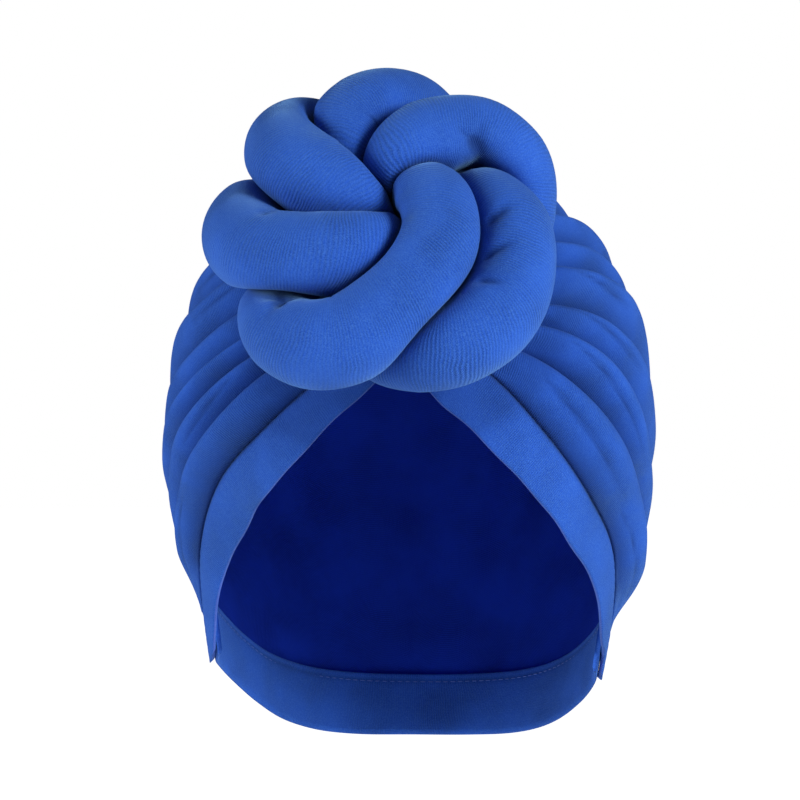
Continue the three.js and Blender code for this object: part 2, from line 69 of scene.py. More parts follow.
# %% Sizes of the head and the cloth
MM = 0.001
HEAD_HALF_WIDTH = 90 * MM
HEAD_FRONT = 98 * MM
HEAD_BACK = 108 * MM
HEAD_TOP = 109 * MM
HEAD_TAPER = 195 * MM
TOP_ROUNDNESS = 2
LOWER_ROUNDNESS = 1.6

CROWN_WALL = 1.6 * MM
FOLD_HEIGHT = 5.6 * MM
PIECE_GAP = 0.35 * MM
FRONT_BAND_WALL = 2.4 * MM
NAPE_BAND_HEIGHT = 26 * MM
NAPE_BAND_WALL = 2.4 * MM
NAPE_DROP = 100.5 * MM
NAPE_TUCK = 6 * MM
NAPE_FLARE = 3.4 * MM
CROWN_OVERLAP = 6 * MM
print("head", 2 * HEAD_HALF_WIDTH, "m wide and", round(HEAD_FRONT + HEAD_BACK, 3), "m deep")

# %% Helpers for curves and directions


def unit(vectors):
    return vectors / np.linalg.norm(vectors, axis=-1, keepdims=True)


def smooth(low, high, value):
    t = np.clip((value - low) / (high - low), 0, 1)
    return t * t * (3 - 2 * t)


def mix(a, b, t):
    return a + (b - a) * t


def curve_through(places, stops, at):
    """Values on a smooth curve that passes through each stop at its place."""
    places = np.asarray(places, float)
    stops = np.asarray(stops, float)
    slopes = np.gradient(stops, places, axis=0)
    slopes[[0, -1]] *= 0.5
    k = np.clip(np.searchsorted(places, at, side="right") - 1, 0, len(places) - 2)
    shape = np.shape(k) + (1,) * (stops.ndim - 1)
    step = (places[k + 1] - places[k]).reshape(shape)
    t = np.clip((at - places[k]) / (places[k + 1] - places[k]), 0, 1).reshape(shape)
    start = (2 * t**3 - 3 * t**2 + 1) * stops[k] + (t**3 - 2 * t**2 + t) * step * slopes[k]
    end = (3 * t**2 - 2 * t**3) * stops[k + 1] + (t**3 - t**2) * step * slopes[k + 1]
    return start + end


def aim(turn, rise):
    """The unit vector at a turn from the front and a rise above the widest level, in degrees."""
    turn, rise = np.radians(turn), np.radians(rise)
    level = np.cos(rise)
    return np.stack([level * np.sin(turn), -level * np.cos(turn), np.sin(rise)], -1)


def head_reach(way):
    """How far the head reaches from its middle along unit vectors."""
    depth = np.where(way[..., 1] < 0, HEAD_FRONT, HEAD_BACK)
    above = way[..., 2] > 0
    roundness = np.where(above, TOP_ROUNDNESS, LOWER_ROUNDNESS)
    level = np.hypot(way[..., 0] / HEAD_HALF_WIDTH, way[..., 1] / depth)
    height = np.abs(way[..., 2]) / np.where(above, HEAD_TOP, HEAD_TAPER)
    return (level**roundness + height**roundness) ** (-1 / roundness)


def low_point(turn, drop):
    """The point on the head at a turn, a given drop below the widest level."""
    turn = np.radians(turn)
    depth = np.where(np.cos(turn) > 0, HEAD_FRONT, HEAD_BACK)
    level = 1 / np.hypot(np.sin(turn) / HEAD_HALF_WIDTH, np.cos(turn) / depth)
    taper = (1 - (drop / HEAD_TAPER) ** LOWER_ROUNDNESS) ** (1 / LOWER_ROUNDNESS)
    return np.stack([level * taper * np.sin(turn), -level * taper * np.cos(turn), -drop], -1)


def waves(seed, *coordinates, count=5, slow=1.0):
    """Smooth, even noise between about -1 and 1: a few sine waves with seeded turns and phases."""
    dice = np.random.default_rng(seed)
    total = 0
    for _ in range(count):
        pitch = dice.normal(0, slow, len(coordinates))
        along = sum(p * c for p, c in zip(pitch, coordinates))
        total = total + np.sin(along + dice.uniform(0, 2 * math.pi))
    return total / math.sqrt(count)


side_and_top = aim(np.array([90, 0]), np.array([0, 90]))
print("the head reaches", head_reach(side_and_top).round(3).tolist(), "m to its side and its top")

# %% [markdown]
# The nape band's top edge, and the guide lines of the crown's cloth.
# The crown is one cloth pulled from the knot to the nape, so it is drawn as lines that start at
# the front seam and fan out over the head. Six guides a side are enough, because all the lines
# between them are worked out. The same guides place the folds, the hems and the knit's ribs.

# %% Guide lines
NAPE_LINE = [
    {"turn": 40, "right": 0.480, "left": 0.460},
    {"turn": 60, "right": 0.540, "left": 0.520},
    {"turn": 78, "right": 0.635, "left": 0.585},
    {"turn": 90, "right": 0.690, "left": 0.620},
    {"turn": 104, "right": 0.780, "left": 0.700},
    {"turn": 118, "right": 0.865, "left": 0.800},
    {"turn": 130, "right": 0.920, "left": 0.885},
    {"turn": 143, "right": 0.962, "left": 0.945},
    {"turn": 160, "right": 0.990, "left": 0.985},
    {"turn": 180, "right": 1.000, "left": 1.000},
]
GUIDES = {
    "right": [
        {"share": 0.00, "stops": [(0, 25), (18, 16), (33, 2), (49, -13), (65, -26)], "end": 82},
        {"share": 0.20, "stops": [(0, 31), (27, 22), (47, 9), (66, -8), (82, -24)], "end": 96},
        {"share": 0.36, "stops": [(0, 36), (30, 28), (53, 18), (70, 2), (90, -17)], "end": 109},
        {"share": 0.55, "stops": [(0, 44), (38, 41), (62, 36), (86, 28), (112, 0)], "end": 130},
        {"share": 0.75, "stops": [(0, 52), (48, 55), (84, 50), (113, 33), (139, 0)], "end": 155},
        {"share": 1.00, "stops": [(0, 62), (0, 86), (180, 66), (180, 30), (180, -8)], "end": 180},
    ],
    "left": [
        {"share": 0.00, "stops": [(0, 25), (18, 14.5), (33, 3), (49, -9), (64, -24)], "end": 77},
        {"share": 0.20, "stops": [(0, 31), (25, 19), (43, 5), (60, -8), (77, -22)], "end": 92},
        {"share": 0.36, "stops": [(0, 36), (30, 26), (54, 14), (74, 2), (94, -14)], "end": 108},
        {"share": 0.55, "stops": [(0, 44), (38, 42), (62, 34), (86, 24), (112, -2)], "end": 130},
        {"share": 0.75, "stops": [(0, 52), (48, 55), (84, 50), (113, 33), (139, 0)], "end": 155},
        {"share": 1.00, "stops": [(0, 62), (0, 86), (180, 66), (180, 30), (180, -8)], "end": 180},
    ],
}
SIDES = {"right": 1, "left": -1}


def nape_drop(side, turn):
    """Drop of the nape band's top edge: one smooth curve from the right side round to the left."""
    turns = [row["turn"] for row in NAPE_LINE]
    drops = [row["right"] for row in NAPE_LINE] + [row["left"] for row in NAPE_LINE[-2::-1]]
    round_turns = turns + [360 - t for t in turns[-2::-1]]
    at = np.asarray(turn, float) if side == "right" else 360 - np.asarray(turn, float)
    return curve_through(round_turns, drops, at) * NAPE_DROP


def band_drop(side, turn, distance):
    """The drop reached by going down the head's slope from the nape band's top edge."""
    top = nape_drop(side, turn)
    slope = np.linalg.norm(low_point(turn, top) - low_point(turn, top + MM), axis=-1) / MM
    return top + distance / slope


def nape_flare(turn, distance):
    """How far the nape band stands off the neck at a turn, below its top edge."""
    return NAPE_FLARE * np.sin(np.radians(turn)) ** 2 * (distance / NAPE_BAND_HEIGHT) ** 1.6


def cloth_way(side, share, along):
    """Directions of the cloth at shares across it and at one place along it."""
    guides = GUIDES[side]
    shares = [row["share"] for row in guides]
    stops = np.array([[aim(*stop) for stop in row["stops"]] for row in guides])
    across = np.stack(
        [[np.interp(share, shares, stops[:, k, axis]) for axis in range(3)] for k in range(5)]
    )
    across = unit(np.moveaxis(across, -1, 0))
    end_turn = np.interp(share, shares, [row["end"] for row in guides])
    last = unit(low_point(end_turn, band_drop(side, end_turn, CROWN_OVERLAP)))
    line = np.concatenate([across, last[:, None, :]], axis=1)
    steps = np.linspace(0, 1, 6)
    return unit(curve_through(steps, np.moveaxis(line, 1, 0), np.array([along]))[0])


print("hem runs from", cloth_way("left", np.array([0.0]), 0.0).round(2).tolist())

# %% [markdown]
# A mesh from a grid.
# All the cloth here is a grid of points that is bent into place, so one helper turns grids into
# closed meshes. It also writes a UV map in metres of cloth, which the knit follows, and masks
# of painted light: shade in creases and other hollows, and a highlight on a band's folded edge.

# %% Mesh helpers


def grid_faces(rows, columns, wrap_rows=False, wrap_columns=False):
    """Corners of each square of a grid: as point numbers, and as numbers in its UV grid."""
    i, j = np.meshgrid(
        np.arange(rows - (not wrap_rows)), np.arange(columns - (not wrap_columns)), indexing="ij"
    )
    corners = [(i, j), (i + 1, j), (i + 1, j + 1), (i, j + 1)]
    points = [(m % rows) * columns + n % columns for m, n in corners]
    width = columns + bool(wrap_columns)
    cloth = [m * width + n for m, n in corners]
    return np.stack(points, -1).reshape(-1, 4), np.stack(cloth, -1).reshape(-1, 4)


def mesh_piece(name, points, faces, cloth, masks):
    """A new object in the row frame. faces are lists of corners, cloth the UV of each corner."""
    placed = np.array(points, float)
    placed[:, 2] -= HEAD_TOP
    mesh = bpy.data.meshes.new(name)
    mesh.from_pydata(placed.tolist(), [], [list(map(int, face)) for face in faces])
    layer = mesh.uv_layers.new(name="cloth")
    layer.data.foreach_set("uv", np.asarray(cloth, np.float32).ravel())
    for mask, values in masks.items():
        attribute = mesh.attributes.new(mask, "FLOAT", "POINT")
        attribute.data.foreach_set("value", np.asarray(values, np.float32))
    mesh.polygons.foreach_set("use_smooth", [True] * len(mesh.polygons))
    mesh.update()
    piece = bpy.data.objects.new(name, mesh)
    bpy.context.scene.collection.objects.link(piece)
    return piece


def arc_lengths(points, axis=0):
    """How far each point lies along its row or column."""
    steps = np.linalg.norm(np.diff(points, axis=axis), axis=-1)
    first = np.zeros_like(np.take(steps, [0], axis=axis))
    return np.concatenate([first, np.cumsum(steps, axis=axis)], axis=axis)


def dress(piece, node, material):
    piece.data.materials.append(material)
    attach(piece, "root")
    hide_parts(node)
    piece.data.calc_loop_triangles()
    print(piece.name, len(piece.data.loop_triangles), "triangles")


print("a grid of 3 by 4 points has", len(grid_faces(3, 4)[0]), "squares")

# %% [markdown]
# Jersey, seen close, is rows of small V-shaped loops in fine ribs.
# An image of cloth would be the quick way, but it repeats and blurs. A node group can draw the
# loops from the cloth's own UV map at their real size, so they turn with every fold. It puts out
# a height for the bump and a rib shade, a painted shade that darkens the colour between ribs,
# and ribs fade in and out in patches, as they do where the cloth is stretched more or less.

# %% The knit node group


def socket(group, name, kind, direction="INPUT", value=None):
    made = group.interface.new_socket(name=name, in_out=direction, socket_type=kind)
    if value is not None:
        made.default_value = value
    return made


class Nodes:
    """Short calls for adding nodes and joining them."""

    def __init__(self, tree):
        self.tree = tree

    def add(self, kind, inputs=(), **settings):
        node = self.tree.nodes.new(kind)
        for key, value in settings.items():
            setattr(node, key, value)
        for key, value in dict(inputs).items():
            self.feed(node.inputs[key], value)
        return node

    def feed(self, target, value):
        if isinstance(value, bpy.types.NodeSocket):
            self.tree.links.new(value, target)
        else:
            target.default_value = value

    def math(self, operation, *values):
        return self.add("ShaderNodeMath", enumerate(values), operation=operation).outputs[0]

    def blend(self, amount, first, second):
        node = self.add("ShaderNodeMix", data_type="RGBA")
        for key, value in ((0, amount), (6, first), (7, second)):
            self.feed(node.inputs[key], value)
        return node.outputs[2]

    def noise(self, vector, scale, detail=2.0):
        inputs = {"Vector": vector, "Scale": scale, "Detail": detail}
        return self.add("ShaderNodeTexNoise", inputs).outputs[0]

    def spread(self, value, low, high, new_low, new_high):
        inputs = {0: value, 1: low, 2: high, 3: new_low, 4: new_high}
        return self.add("ShaderNodeMapRange", inputs).outputs[0]


def knit_group():
    group = bpy.data.node_groups.new("jersey_knit", "ShaderNodeTree")
    socket(group, "Cloth", "NodeSocketVector")
    socket(group, "Place", "NodeSocketVector")
    socket(group, "Rib Pitch", "NodeSocketFloat", value=0.8 * MM)
    socket(group, "Loop Pitch", "NodeSocketFloat", value=1.1 * MM)
    socket(group, "Slant", "NodeSocketFloat", value=0.0)
    socket(group, "Rib Strength", "NodeSocketFloat", value=1.0)
    socket(group, "Height", "NodeSocketFloat", "OUTPUT")
    socket(group, "Rib Shade", "NodeSocketFloat", "OUTPUT")
    n = Nodes(group)
    source = n.add("NodeGroupInput").outputs
    cloth = n.add("ShaderNodeSeparateXYZ", {0: source["Cloth"]}).outputs
    leaning = n.math("MULTIPLY", cloth[1], source["Slant"])
    wander = n.noise(source["Place"], 60.0)
    drift = n.math("MULTIPLY", n.math("SUBTRACT", wander, 0.5), 3.0 * MM)
    across = n.math("ADD", n.math("ADD", cloth[0], leaning), drift)
    turn = n.math("MULTIPLY", n.math("DIVIDE", across, source["Rib Pitch"]), 2 * math.pi)
    rib = n.spread(n.math("SINE", turn), -1.0, 1.0, 0.0, 1.0)
    side = n.math("ABSOLUTE", n.math("SINE", n.math("MULTIPLY", turn, 0.5)))
    row = n.math("ADD", n.math("DIVIDE", cloth[1], source["Loop Pitch"]), side)
    loop = n.spread(n.math("SINE", n.math("MULTIPLY", row, 2 * math.pi)), -1.0, 1.0, 0.0, 1.0)
    patches = n.spread(n.noise(source["Place"], 45.0, 3.0), 0.35, 0.68, 0.25, 1.0)
    shown = n.math("MULTIPLY", patches, source["Rib Strength"])
    knit = n.math("ADD", n.math("MULTIPLY", rib, 0.7), n.math("MULTIPLY", loop, 0.3))
    fuzz = n.noise(source["Place"], 1400.0)
    height = n.math("ADD", n.math("MULTIPLY", knit, shown), n.math("MULTIPLY", fuzz, 0.55))
    # Painted shade: the colour is darkened between the ribs.
    rib_shade = n.spread(n.math("MULTIPLY", n.math("SUBTRACT", 1.0, knit), shown), 0.0, 1.0, 1.06, 0.58)
    sink = n.add("NodeGroupOutput")
    n.feed(sink.inputs["Height"], height)
    n.feed(sink.inputs["Rib Shade"], rib_shade)
    return group


JERSEY_KNIT = knit_group()
print("node group", JERSEY_KNIT.name, len(JERSEY_KNIT.nodes), "nodes")

# %% [markdown]
# Lint and dye are never even, and shade and highlight are painted into the colour.
# A second group gives slow, faint changes of colour over a few centimetres, and pale lint at
# the scale of a millimetre, partly the jersey's own pale fibres and partly painted highlight, as
# it is left out of the painted shade. It paints shade into creases and other hollows, and a
# pale painted highlight along the folded edge of a band.
# Every jersey below has it, with its own amounts.

# %% The dye, lint and painted light node group


def dye_and_painted_light_group():
    group = bpy.data.node_groups.new("dye_lint_and_painted_light", "ShaderNodeTree")
    socket(group, "Place", "NodeSocketVector")
    socket(group, "Dye", "NodeSocketColor", value=(0.03, 0.1, 0.5, 1))
    socket(group, "Rib Shade", "NodeSocketFloat", value=1.0)
    socket(group, "Painted Shade", "NodeSocketFloat", value=0.0)
    socket(group, "Painted Shade Depth", "NodeSocketFloat", value=0.62)
    socket(group, "Lint And Highlight", "NodeSocketFloat", value=0.05)
    socket(group, "Edge Highlight", "NodeSocketFloat", value=0.0)
    socket(group, "Edge Highlight Color", "NodeSocketColor", value=(0.17, 0.17, 0.62, 1))
    socket(group, "Color", "NodeSocketColor", "OUTPUT")
    socket(group, "Roughness", "NodeSocketFloat", "OUTPUT")
    n = Nodes(group)
    source = n.add("NodeGroupInput").outputs
    cloudy = n.spread(n.noise(source["Place"], 28.0, 3.0), 0.3, 0.7, 0.93, 1.07)
    # Painted shade: the crease mask darkens the colour in creases, hollows and round the knot.
    painted_shade = n.math("MULTIPLY", source["Painted Shade"], source["Painted Shade Depth"])
    toned = n.math("MULTIPLY", cloudy, source["Rib Shade"])
    open_cloth = n.math("SUBTRACT", 1.0, painted_shade)
    value = n.math("MULTIPLY", toned, open_cloth)
    # Painted highlight: a pale lavender line mixed in along a band's folded edge.
    pressed = n.math("MULTIPLY", source["Edge Highlight"], 0.4)
    dye = n.blend(pressed, source["Dye"], source["Edge Highlight Color"])
    shaded = n.add("ShaderNodeHueSaturation", {"Color": dye, "Value": value}).outputs[0]
    # Pale lint: partly the jersey's own pale fibres, partly painted highlight, kept out of the
    # painted shade.
    heather = n.spread(n.noise(source["Place"], 2600.0, 1.0), 0.40, 0.75, 0.0, 1.0)
    lint_and_highlight = n.math("MULTIPLY", heather, source["Lint And Highlight"])
    amount = n.math("MULTIPLY", lint_and_highlight, n.math("SUBTRACT", 1.0, source["Painted Shade"]))
    sink = n.add("NodeGroupOutput")
    n.feed(sink.inputs["Color"], n.blend(amount, shaded, (0.14, 0.38, 0.84, 1)))
    n.feed(sink.inputs["Roughness"], n.spread(source["Rib Shade"], 0.6, 1.0, 0.97, 0.86))
    return group


DYE_LINT_AND_PAINTED_LIGHT = dye_and_painted_light_group()
print("node group", DYE_LINT_AND_PAINTED_LIGHT.name, len(DYE_LINT_AND_PAINTED_LIGHT.nodes), "nodes")

# %% [markdown]
# The jersey itself.
# Cotton jersey has no gloss, but its fine hairs catch light at grazing angles. That is sheen on
# the Principled shader, set on the shader's own sockets. Four finishes share this function: the
# crown's cloth; a darker copy of it for the crown's inside faces, with no sheen or pale lint,
# whose colour is a painted shade; the pressed bands; and the fuller, fuzzier cloth of the rolls.

# %% Jersey materials


def jersey(name, dye, sheen, lint_and_highlight, rib_pitch=0.80 * MM, slant=0.0):
    material = bpy.data.materials.new(name)
    material.use_nodes = True
    tree = material.node_tree
    tree.nodes.clear()
    n = Nodes(tree)
    place = n.add("ShaderNodeTexCoord").outputs["Object"]
    cloth = n.add("ShaderNodeUVMap", uv_map="cloth").outputs[0]
    crease, edge_highlight = (
        n.add("ShaderNodeAttribute", attribute_name=key).outputs["Fac"]
        for key in ("crease", "edge_highlight")
    )
    knit = n.add("ShaderNodeGroup", node_tree=JERSEY_KNIT)
    for key, value in {
        "Cloth": cloth,
        "Place": place,
        "Rib Pitch": rib_pitch,
        "Slant": slant,
    }.items():
        n.feed(knit.inputs[key], value)
    dyed = n.add("ShaderNodeGroup", node_tree=DYE_LINT_AND_PAINTED_LIGHT)
    for key, value in {
        "Place": place,
        "Dye": (*dye, 1),
        "Rib Shade": knit.outputs["Rib Shade"],
        "Painted Shade": crease,
        "Edge Highlight": edge_highlight,
        "Lint And Highlight": lint_and_highlight,
    }.items():
        n.feed(dyed.inputs[key], value)
    relief = n.add("ShaderNodeBump", {"Height": knit.outputs["Height"], "Distance": 0.25 * MM})
    relief.inputs["Strength"].default_value = 1.0
    skin = n.add("ShaderNodeBsdfPrincipled")
    n.feed(skin.inputs["Base Color"], dyed.outputs["Color"])
    n.feed(skin.inputs["Roughness"], dyed.outputs["Roughness"])
    n.feed(skin.inputs["Normal"], relief.outputs[0])
    skin.inputs["Specular IOR Level"].default_value = 0.15
    skin.inputs["Sheen Weight"].default_value = sheen
    skin.inputs["Sheen Roughness"].default_value = 0.45
    skin.inputs["Sheen Tint"].default_value = (0.30, 0.62, 1.0, 1)
    sink = n.add("ShaderNodeOutputMaterial")
    n.feed(sink.inputs["Surface"], skin.outputs[0])
    print("material", name)
    return material


CROWN_CLOTH = jersey("crown_jersey", (0.018, 0.098, 0.57), sheen=0.25, lint_and_highlight=0.20)
# The crown's inside: a darker copy of the crown's cloth, its colour a painted shade.
CROWN_INSIDE_SHADE = jersey("crown_inside_painted_shade", (0.006, 0.040, 0.50), sheen=0.0, lint_and_highlight=0.0)
BAND_CLOTH = jersey("band_jersey", (0.019, 0.100, 0.57), sheen=0.22, lint_and_highlight=0.24)
ROLL_CLOTH = jersey(
    "roll_jersey", (0.019, 0.100, 0.57), sheen=0.40, lint_and_highlight=0.26, rib_pitch=0.90 * MM, slant=0.18
)

# %% [markdown]
# The folds of the crown.
# Real gathers are rounded bulges with narrow valleys between them. Cloth simulation could find
# some folds, but not these ones, so a short table says where each crease lies near the knot, at
# the side and at the nape, and how high its fold stands. The height over a fold is a flattened
# arch, steep at both creases. They lie flat under the knot and come up past its edge.

# %% Fold tables
FOLDS = {
    "right": [
        {"front": 0.19, "side": 0.20, "nape": 0.17, "high": (0.35, 0.75, 1.10)},
        {"front": 0.35, "side": 0.36, "nape": 0.33, "high": (0.90, 0.80, 0.60)},
        {"front": 0.44, "side": 0.47, "nape": 0.44, "high": (0.70, 0.75, 0.40)},
        {"front": 0.55, "side": 0.56, "nape": 0.55, "high": (0.95, 0.90, 0.50)},
        {"front": 0.64, "side": 0.65, "nape": 0.66, "high": (0.70, 0.70, 0.40)},
        {"front": 0.74, "side": 0.75, "nape": 0.76, "high": (0.80, 0.75, 0.50)},
        {"front": 0.83, "side": 0.84, "nape": 0.85, "high": (0.60, 0.55, 0.40)},
        {"front": 0.92, "side": 0.92, "nape": 0.93, "high": (0.50, 0.45, 0.40)},
        {"front": 1.00, "side": 1.00, "nape": 1.00, "high": (0.40, 0.40, 0.35)},
    ],
    "left": [
        {"front": 0.20, "side": 0.20, "nape": 0.16, "high": (0.85, 0.95, 0.55)},
        {"front": 0.29, "side": 0.30, "nape": 0.27, "high": (0.80, 0.70, 0.40)},
        {"front": 0.36, "side": 0.37, "nape": 0.38, "high": (0.75, 0.75, 0.50)},
        {"front": 0.44, "side": 0.45, "nape": 0.48, "high": (0.60, 0.55, 0.45)},
        {"front": 0.55, "side": 0.56, "nape": 0.59, "high": (0.60, 0.60, 0.50)},
        {"front": 0.66, "side": 0.68, "nape": 0.70, "high": (0.60, 0.60, 0.45)},
        {"front": 0.77, "side": 0.79, "nape": 0.81, "high": (0.60, 0.55, 0.40)},
        {"front": 0.89, "side": 0.90, "nape": 0.92, "high": (0.50, 0.45, 0.40)},
        {"front": 1.00, "side": 1.00, "nape": 1.00, "high": (0.40, 0.40, 0.35)},
    ],
}
FOLD_RELIEF = 12.5 * MM
FOLD_RELIEF_BEHIND = 9.0 * MM
FOLD_ROUNDNESS = 0.78
FOLD_LEAN = 1.75
print("folds", {side: len(rows) for side, rows in FOLDS.items()})

# %% Fine creases
# Short, narrow creases that lie inside a fold. Share and along are where each one starts and
# ends, depth and width are its own, in millimetres and in shares of the cloth.
FINE_CREASES = {
    "right": [
        {"start": (0.11, 0.18), "end": (0.08, 0.66), "depth": 2.0, "width": 0.030},
        {"start": (0.28, 0.20), "end": (0.27, 0.62), "depth": 0.9, "width": 0.016},
        {"start": (0.40, 0.24), "end": (0.42, 0.55), "depth": 0.8, "width": 0.012},
        {"start": (0.50, 0.24), "end": (0.51, 0.50), "depth": 0.9, "width": 0.012},
        {"start": (0.06, 0.60), "end": (0.09, 0.92), "depth": 1.0, "width": 0.014},
        {"start": (0.25, 0.60), "end": (0.24, 0.90), "depth": 0.8, "width": 0.014},
        {"start": (0.69, 0.40), "end": (0.70, 0.85), "depth": 0.8, "width": 0.014},
    ],
    "left": [
        {"start": (0.25, 0.30), "end": (0.25, 0.55), "depth": 0.7, "width": 0.010},
        {"start": (0.50, 0.22), "end": (0.50, 0.46), "depth": 1.5, "width": 0.010},
        {"start": (0.60, 0.24), "end": (0.60, 0.55), "depth": 0.8, "width": 0.012},
        {"start": (0.12, 0.62), "end": (0.08, 0.92), "depth": 0.9, "width": 0.012},
        {"start": (0.72, 0.40), "end": (0.74, 0.85), "depth": 0.8, "width": 0.014},
    ],
}

# %% [markdown]
# Where the knot sits.
# The knot is sewn down over the gathers, so the cloth under it is pressed flat. It is enough to
# know the knot's middle, the way it faces and its radius: a fold's height then grows from
# nothing under the knot to its full height at the knot's edge.

# %% The knot's place
FOLD_STARTS_AT = 0.48
FOLD_FULL_AT = 1.0
# The knot's painted shadow on the cloth round it: its depth, where it starts and how it fades.
SHADE_DEPTH, SHADE_START, SHADE_FADE = 0.55, 0.98, 0.10
KNOT_RADIUS = 61.5 * MM
ROLL_RADIUS = 16.8 * MM
KNOT_SHIFT = -5.5 * MM
KNOT_SEAT_RISE = 34
KNOT_TILT = math.radians(30)
KNOT_STAND_SHARE = 1.75

KNOT_FACE = np.array([0, -math.cos(KNOT_TILT), math.sin(KNOT_TILT)])
KNOT_UP = np.array([0, math.sin(KNOT_TILT), math.cos(KNOT_TILT)])
KNOT_ACROSS = np.array([1.0, 0, 0])
seat_way = aim(0, KNOT_SEAT_RISE)
KNOT_SEAT = seat_way * (head_reach(seat_way) + CROWN_WALL) + KNOT_ACROSS * KNOT_SHIFT


def knot_distance(points):
    """How far points lie from the knot's axis, as a share of the knot's radius."""
    offset = points - KNOT_SEAT
    along = offset @ KNOT_FACE
    return np.sqrt(np.maximum(0, (offset**2).sum(-1) - along**2)) / KNOT_RADIUS


def knot_shade(points):
    """A mask of the painted shadow that the knot casts on the cloth close round it."""
    past = np.maximum(0, knot_distance(points) - SHADE_START)
    return SHADE_DEPTH * np.exp(-past / SHADE_FADE) * (points[..., 1] < 0)


def fold_freedom(points):
    covered = (points[..., 1] < 0) | (points[..., 2] > HEAD_TOP / 2)
    return np.where(covered, smooth(FOLD_STARTS_AT, FOLD_FULL_AT, knot_distance(points)), 1)


print("the knot's seat", KNOT_SEAT.round(3).tolist())

# %% [markdown]
# One row of folds.
# The crown is worked out row by row, from its front seam to the nape. Along a row each fold is
# cut more finely near its creases than on its back, so the valleys stay sharp with few points.
# The arch leans: it climbs slowly from one crease and drops into the next, as cloth does where
# it is pulled to one side.

# %% Heights over one row of the cloth
CUTS_PER_FOLD = 24
CUTS_TOWARDS_CREASES = 0.6
THIRDS = [0, 1 / 3, 2 / 3, 1]
VALLEY_WIDTH = 0.30
FAR_VALLEY_WIDTH = 0.05


def fold_row(side, along):
    """Shares across one row of the cloth, the folds' height and the painted shade of its creases.
    """
    folds = FOLDS[side]
    place = np.array([along])
    even = np.linspace(0, 1, CUTS_PER_FOLD + 1)
    cuts = mix(even, (1 - np.cos(math.pi * even)) / 2, CUTS_TOWARDS_CREASES)
    settled = smooth(0, 0.1, along) * (1 - smooth(0.82, 0.97, along))
    shares, heights, creases = [np.zeros(1)], [np.zeros(1)], [np.ones(1)]
    low = 0.0
    for index, fold in enumerate(folds):
        stops = [(index + 1) / len(folds), fold["front"], fold["side"], fold["nape"]]
        high = curve_through(THIRDS, stops, place)[0]
        relief = mix(FOLD_RELIEF, FOLD_RELIEF_BEHIND, smooth(0.35, 0.7, along))
        top = curve_through([0, 0.5, 1], fold["high"], place)[0] * relief * settled
        last = index == len(folds) - 1
        round_cut = (cuts / 2 if last else cuts) ** FOLD_LEAN
        swell = np.maximum(0, 4 * round_cut * (1 - round_cut)) ** FOLD_ROUNDNESS
        # Painted shade: the mask darkens the valleys next to each crease.
        under = np.exp(-((cuts / VALLEY_WIDTH) ** 1.5))
        under = under + (0 if last else np.exp(-(1 - cuts) / FAR_VALLEY_WIDTH))
        crease = np.clip(under, 0, 1) * np.clip(top / FOLD_HEIGHT, 0, 1)
        shares.append(mix(low, high, cuts)[1:])
        heights.append((top * swell)[1:])
        creases.append(crease[1:])
        low = high
    return np.concatenate(shares), np.concatenate(heights), np.concatenate(creases)


def fine_creases(side, shares, along):
    """How deep the short creases cut at these shares, and the painted shade in them."""
    cut = np.zeros_like(shares)
    mask = np.zeros_like(shares)
    for row in FINE_CREASES[side]:
        (share, start), (end_share, end) = row["start"], row["end"]
        t = (along - start) / (end - start)
        if 0 < t < 1:
            fade = math.sin(math.pi * t) ** 0.6
            near = np.exp(-np.abs(shares - mix(share, end_share, t)) / row["width"])
            cut += row["depth"] * MM * fade * near
            # Painted shade in the short creases.
            mask = np.maximum(mask, 0.8 * fade * near**2)
    return cut, mask


print("highest fold half way back", round(float(fold_row("right", 0.5)[1].max()), 4), "m")

# %% [markdown]
# The crown's shell.
# A Solidify modifier would be quick, but the folds are sharper than the wall is thick, so the
# inner face would cross itself. Here both faces are made. The inner one lies a wall's thickness
# under the lowest cloth nearby, so it follows the folds loosely and never pokes out of a valley.
# At the nape the cloth is gathered into small, even tucks, and its hems are rounded.

# %% The crown's two faces
CROWN_ROWS = 132
HEM_ROUND = 1.5 * MM
HEM_SHARE = 21 / 25
CROWN_RUN = 0.28
LUMP_HEIGHT = 0.35 * MM
LUMP_SIZE = 14 * MM
GATHER_PITCH = 7 * MM
GATHER_HEIGHT = 0.9 * MM
INNER_REACH_ROWS = 3
INNER_REACH_COLUMNS = 4

alongs = np.linspace(0, 1, CROWN_ROWS - 6)
alongs = np.concatenate([alongs[:-1], mix(alongs[-2], 1, np.linspace(0, 1, 8)[1:])])


def hem_ways(side, places):
    return np.concatenate([cloth_way(side, np.array([0.0]), along) for along in places])


def opening_ways(ways, share):
    """The way across a front band, towards the face, at each place down its edge."""
    forward = unit(np.gradient(ways, axis=0))
    across = unit(np.cross(forward, ways))
    turned = smooth(0, 0.16, share)[:, None]
    down = mix(np.array([0, 0, -1.0]), across, turned)
    return unit(down - (down * ways).sum(-1, keepdims=True) * ways)


def slide(ways, towards, distance):
    """Moves directions along the head's skin by a distance."""
    angle = (distance / head_reach(ways))[..., None]
    return unit(ways * np.cos(angle) + towards * np.sin(angle))


def lowest_near(values, reach):
    """The least of each value and its neighbours in the same column, up to reach rows away."""
    padded = np.pad(values, ((reach, reach), (0, 0)), mode="edge")
    return np.min([padded[k : k + len(values)] for k in range(2 * reach + 1)], axis=0)


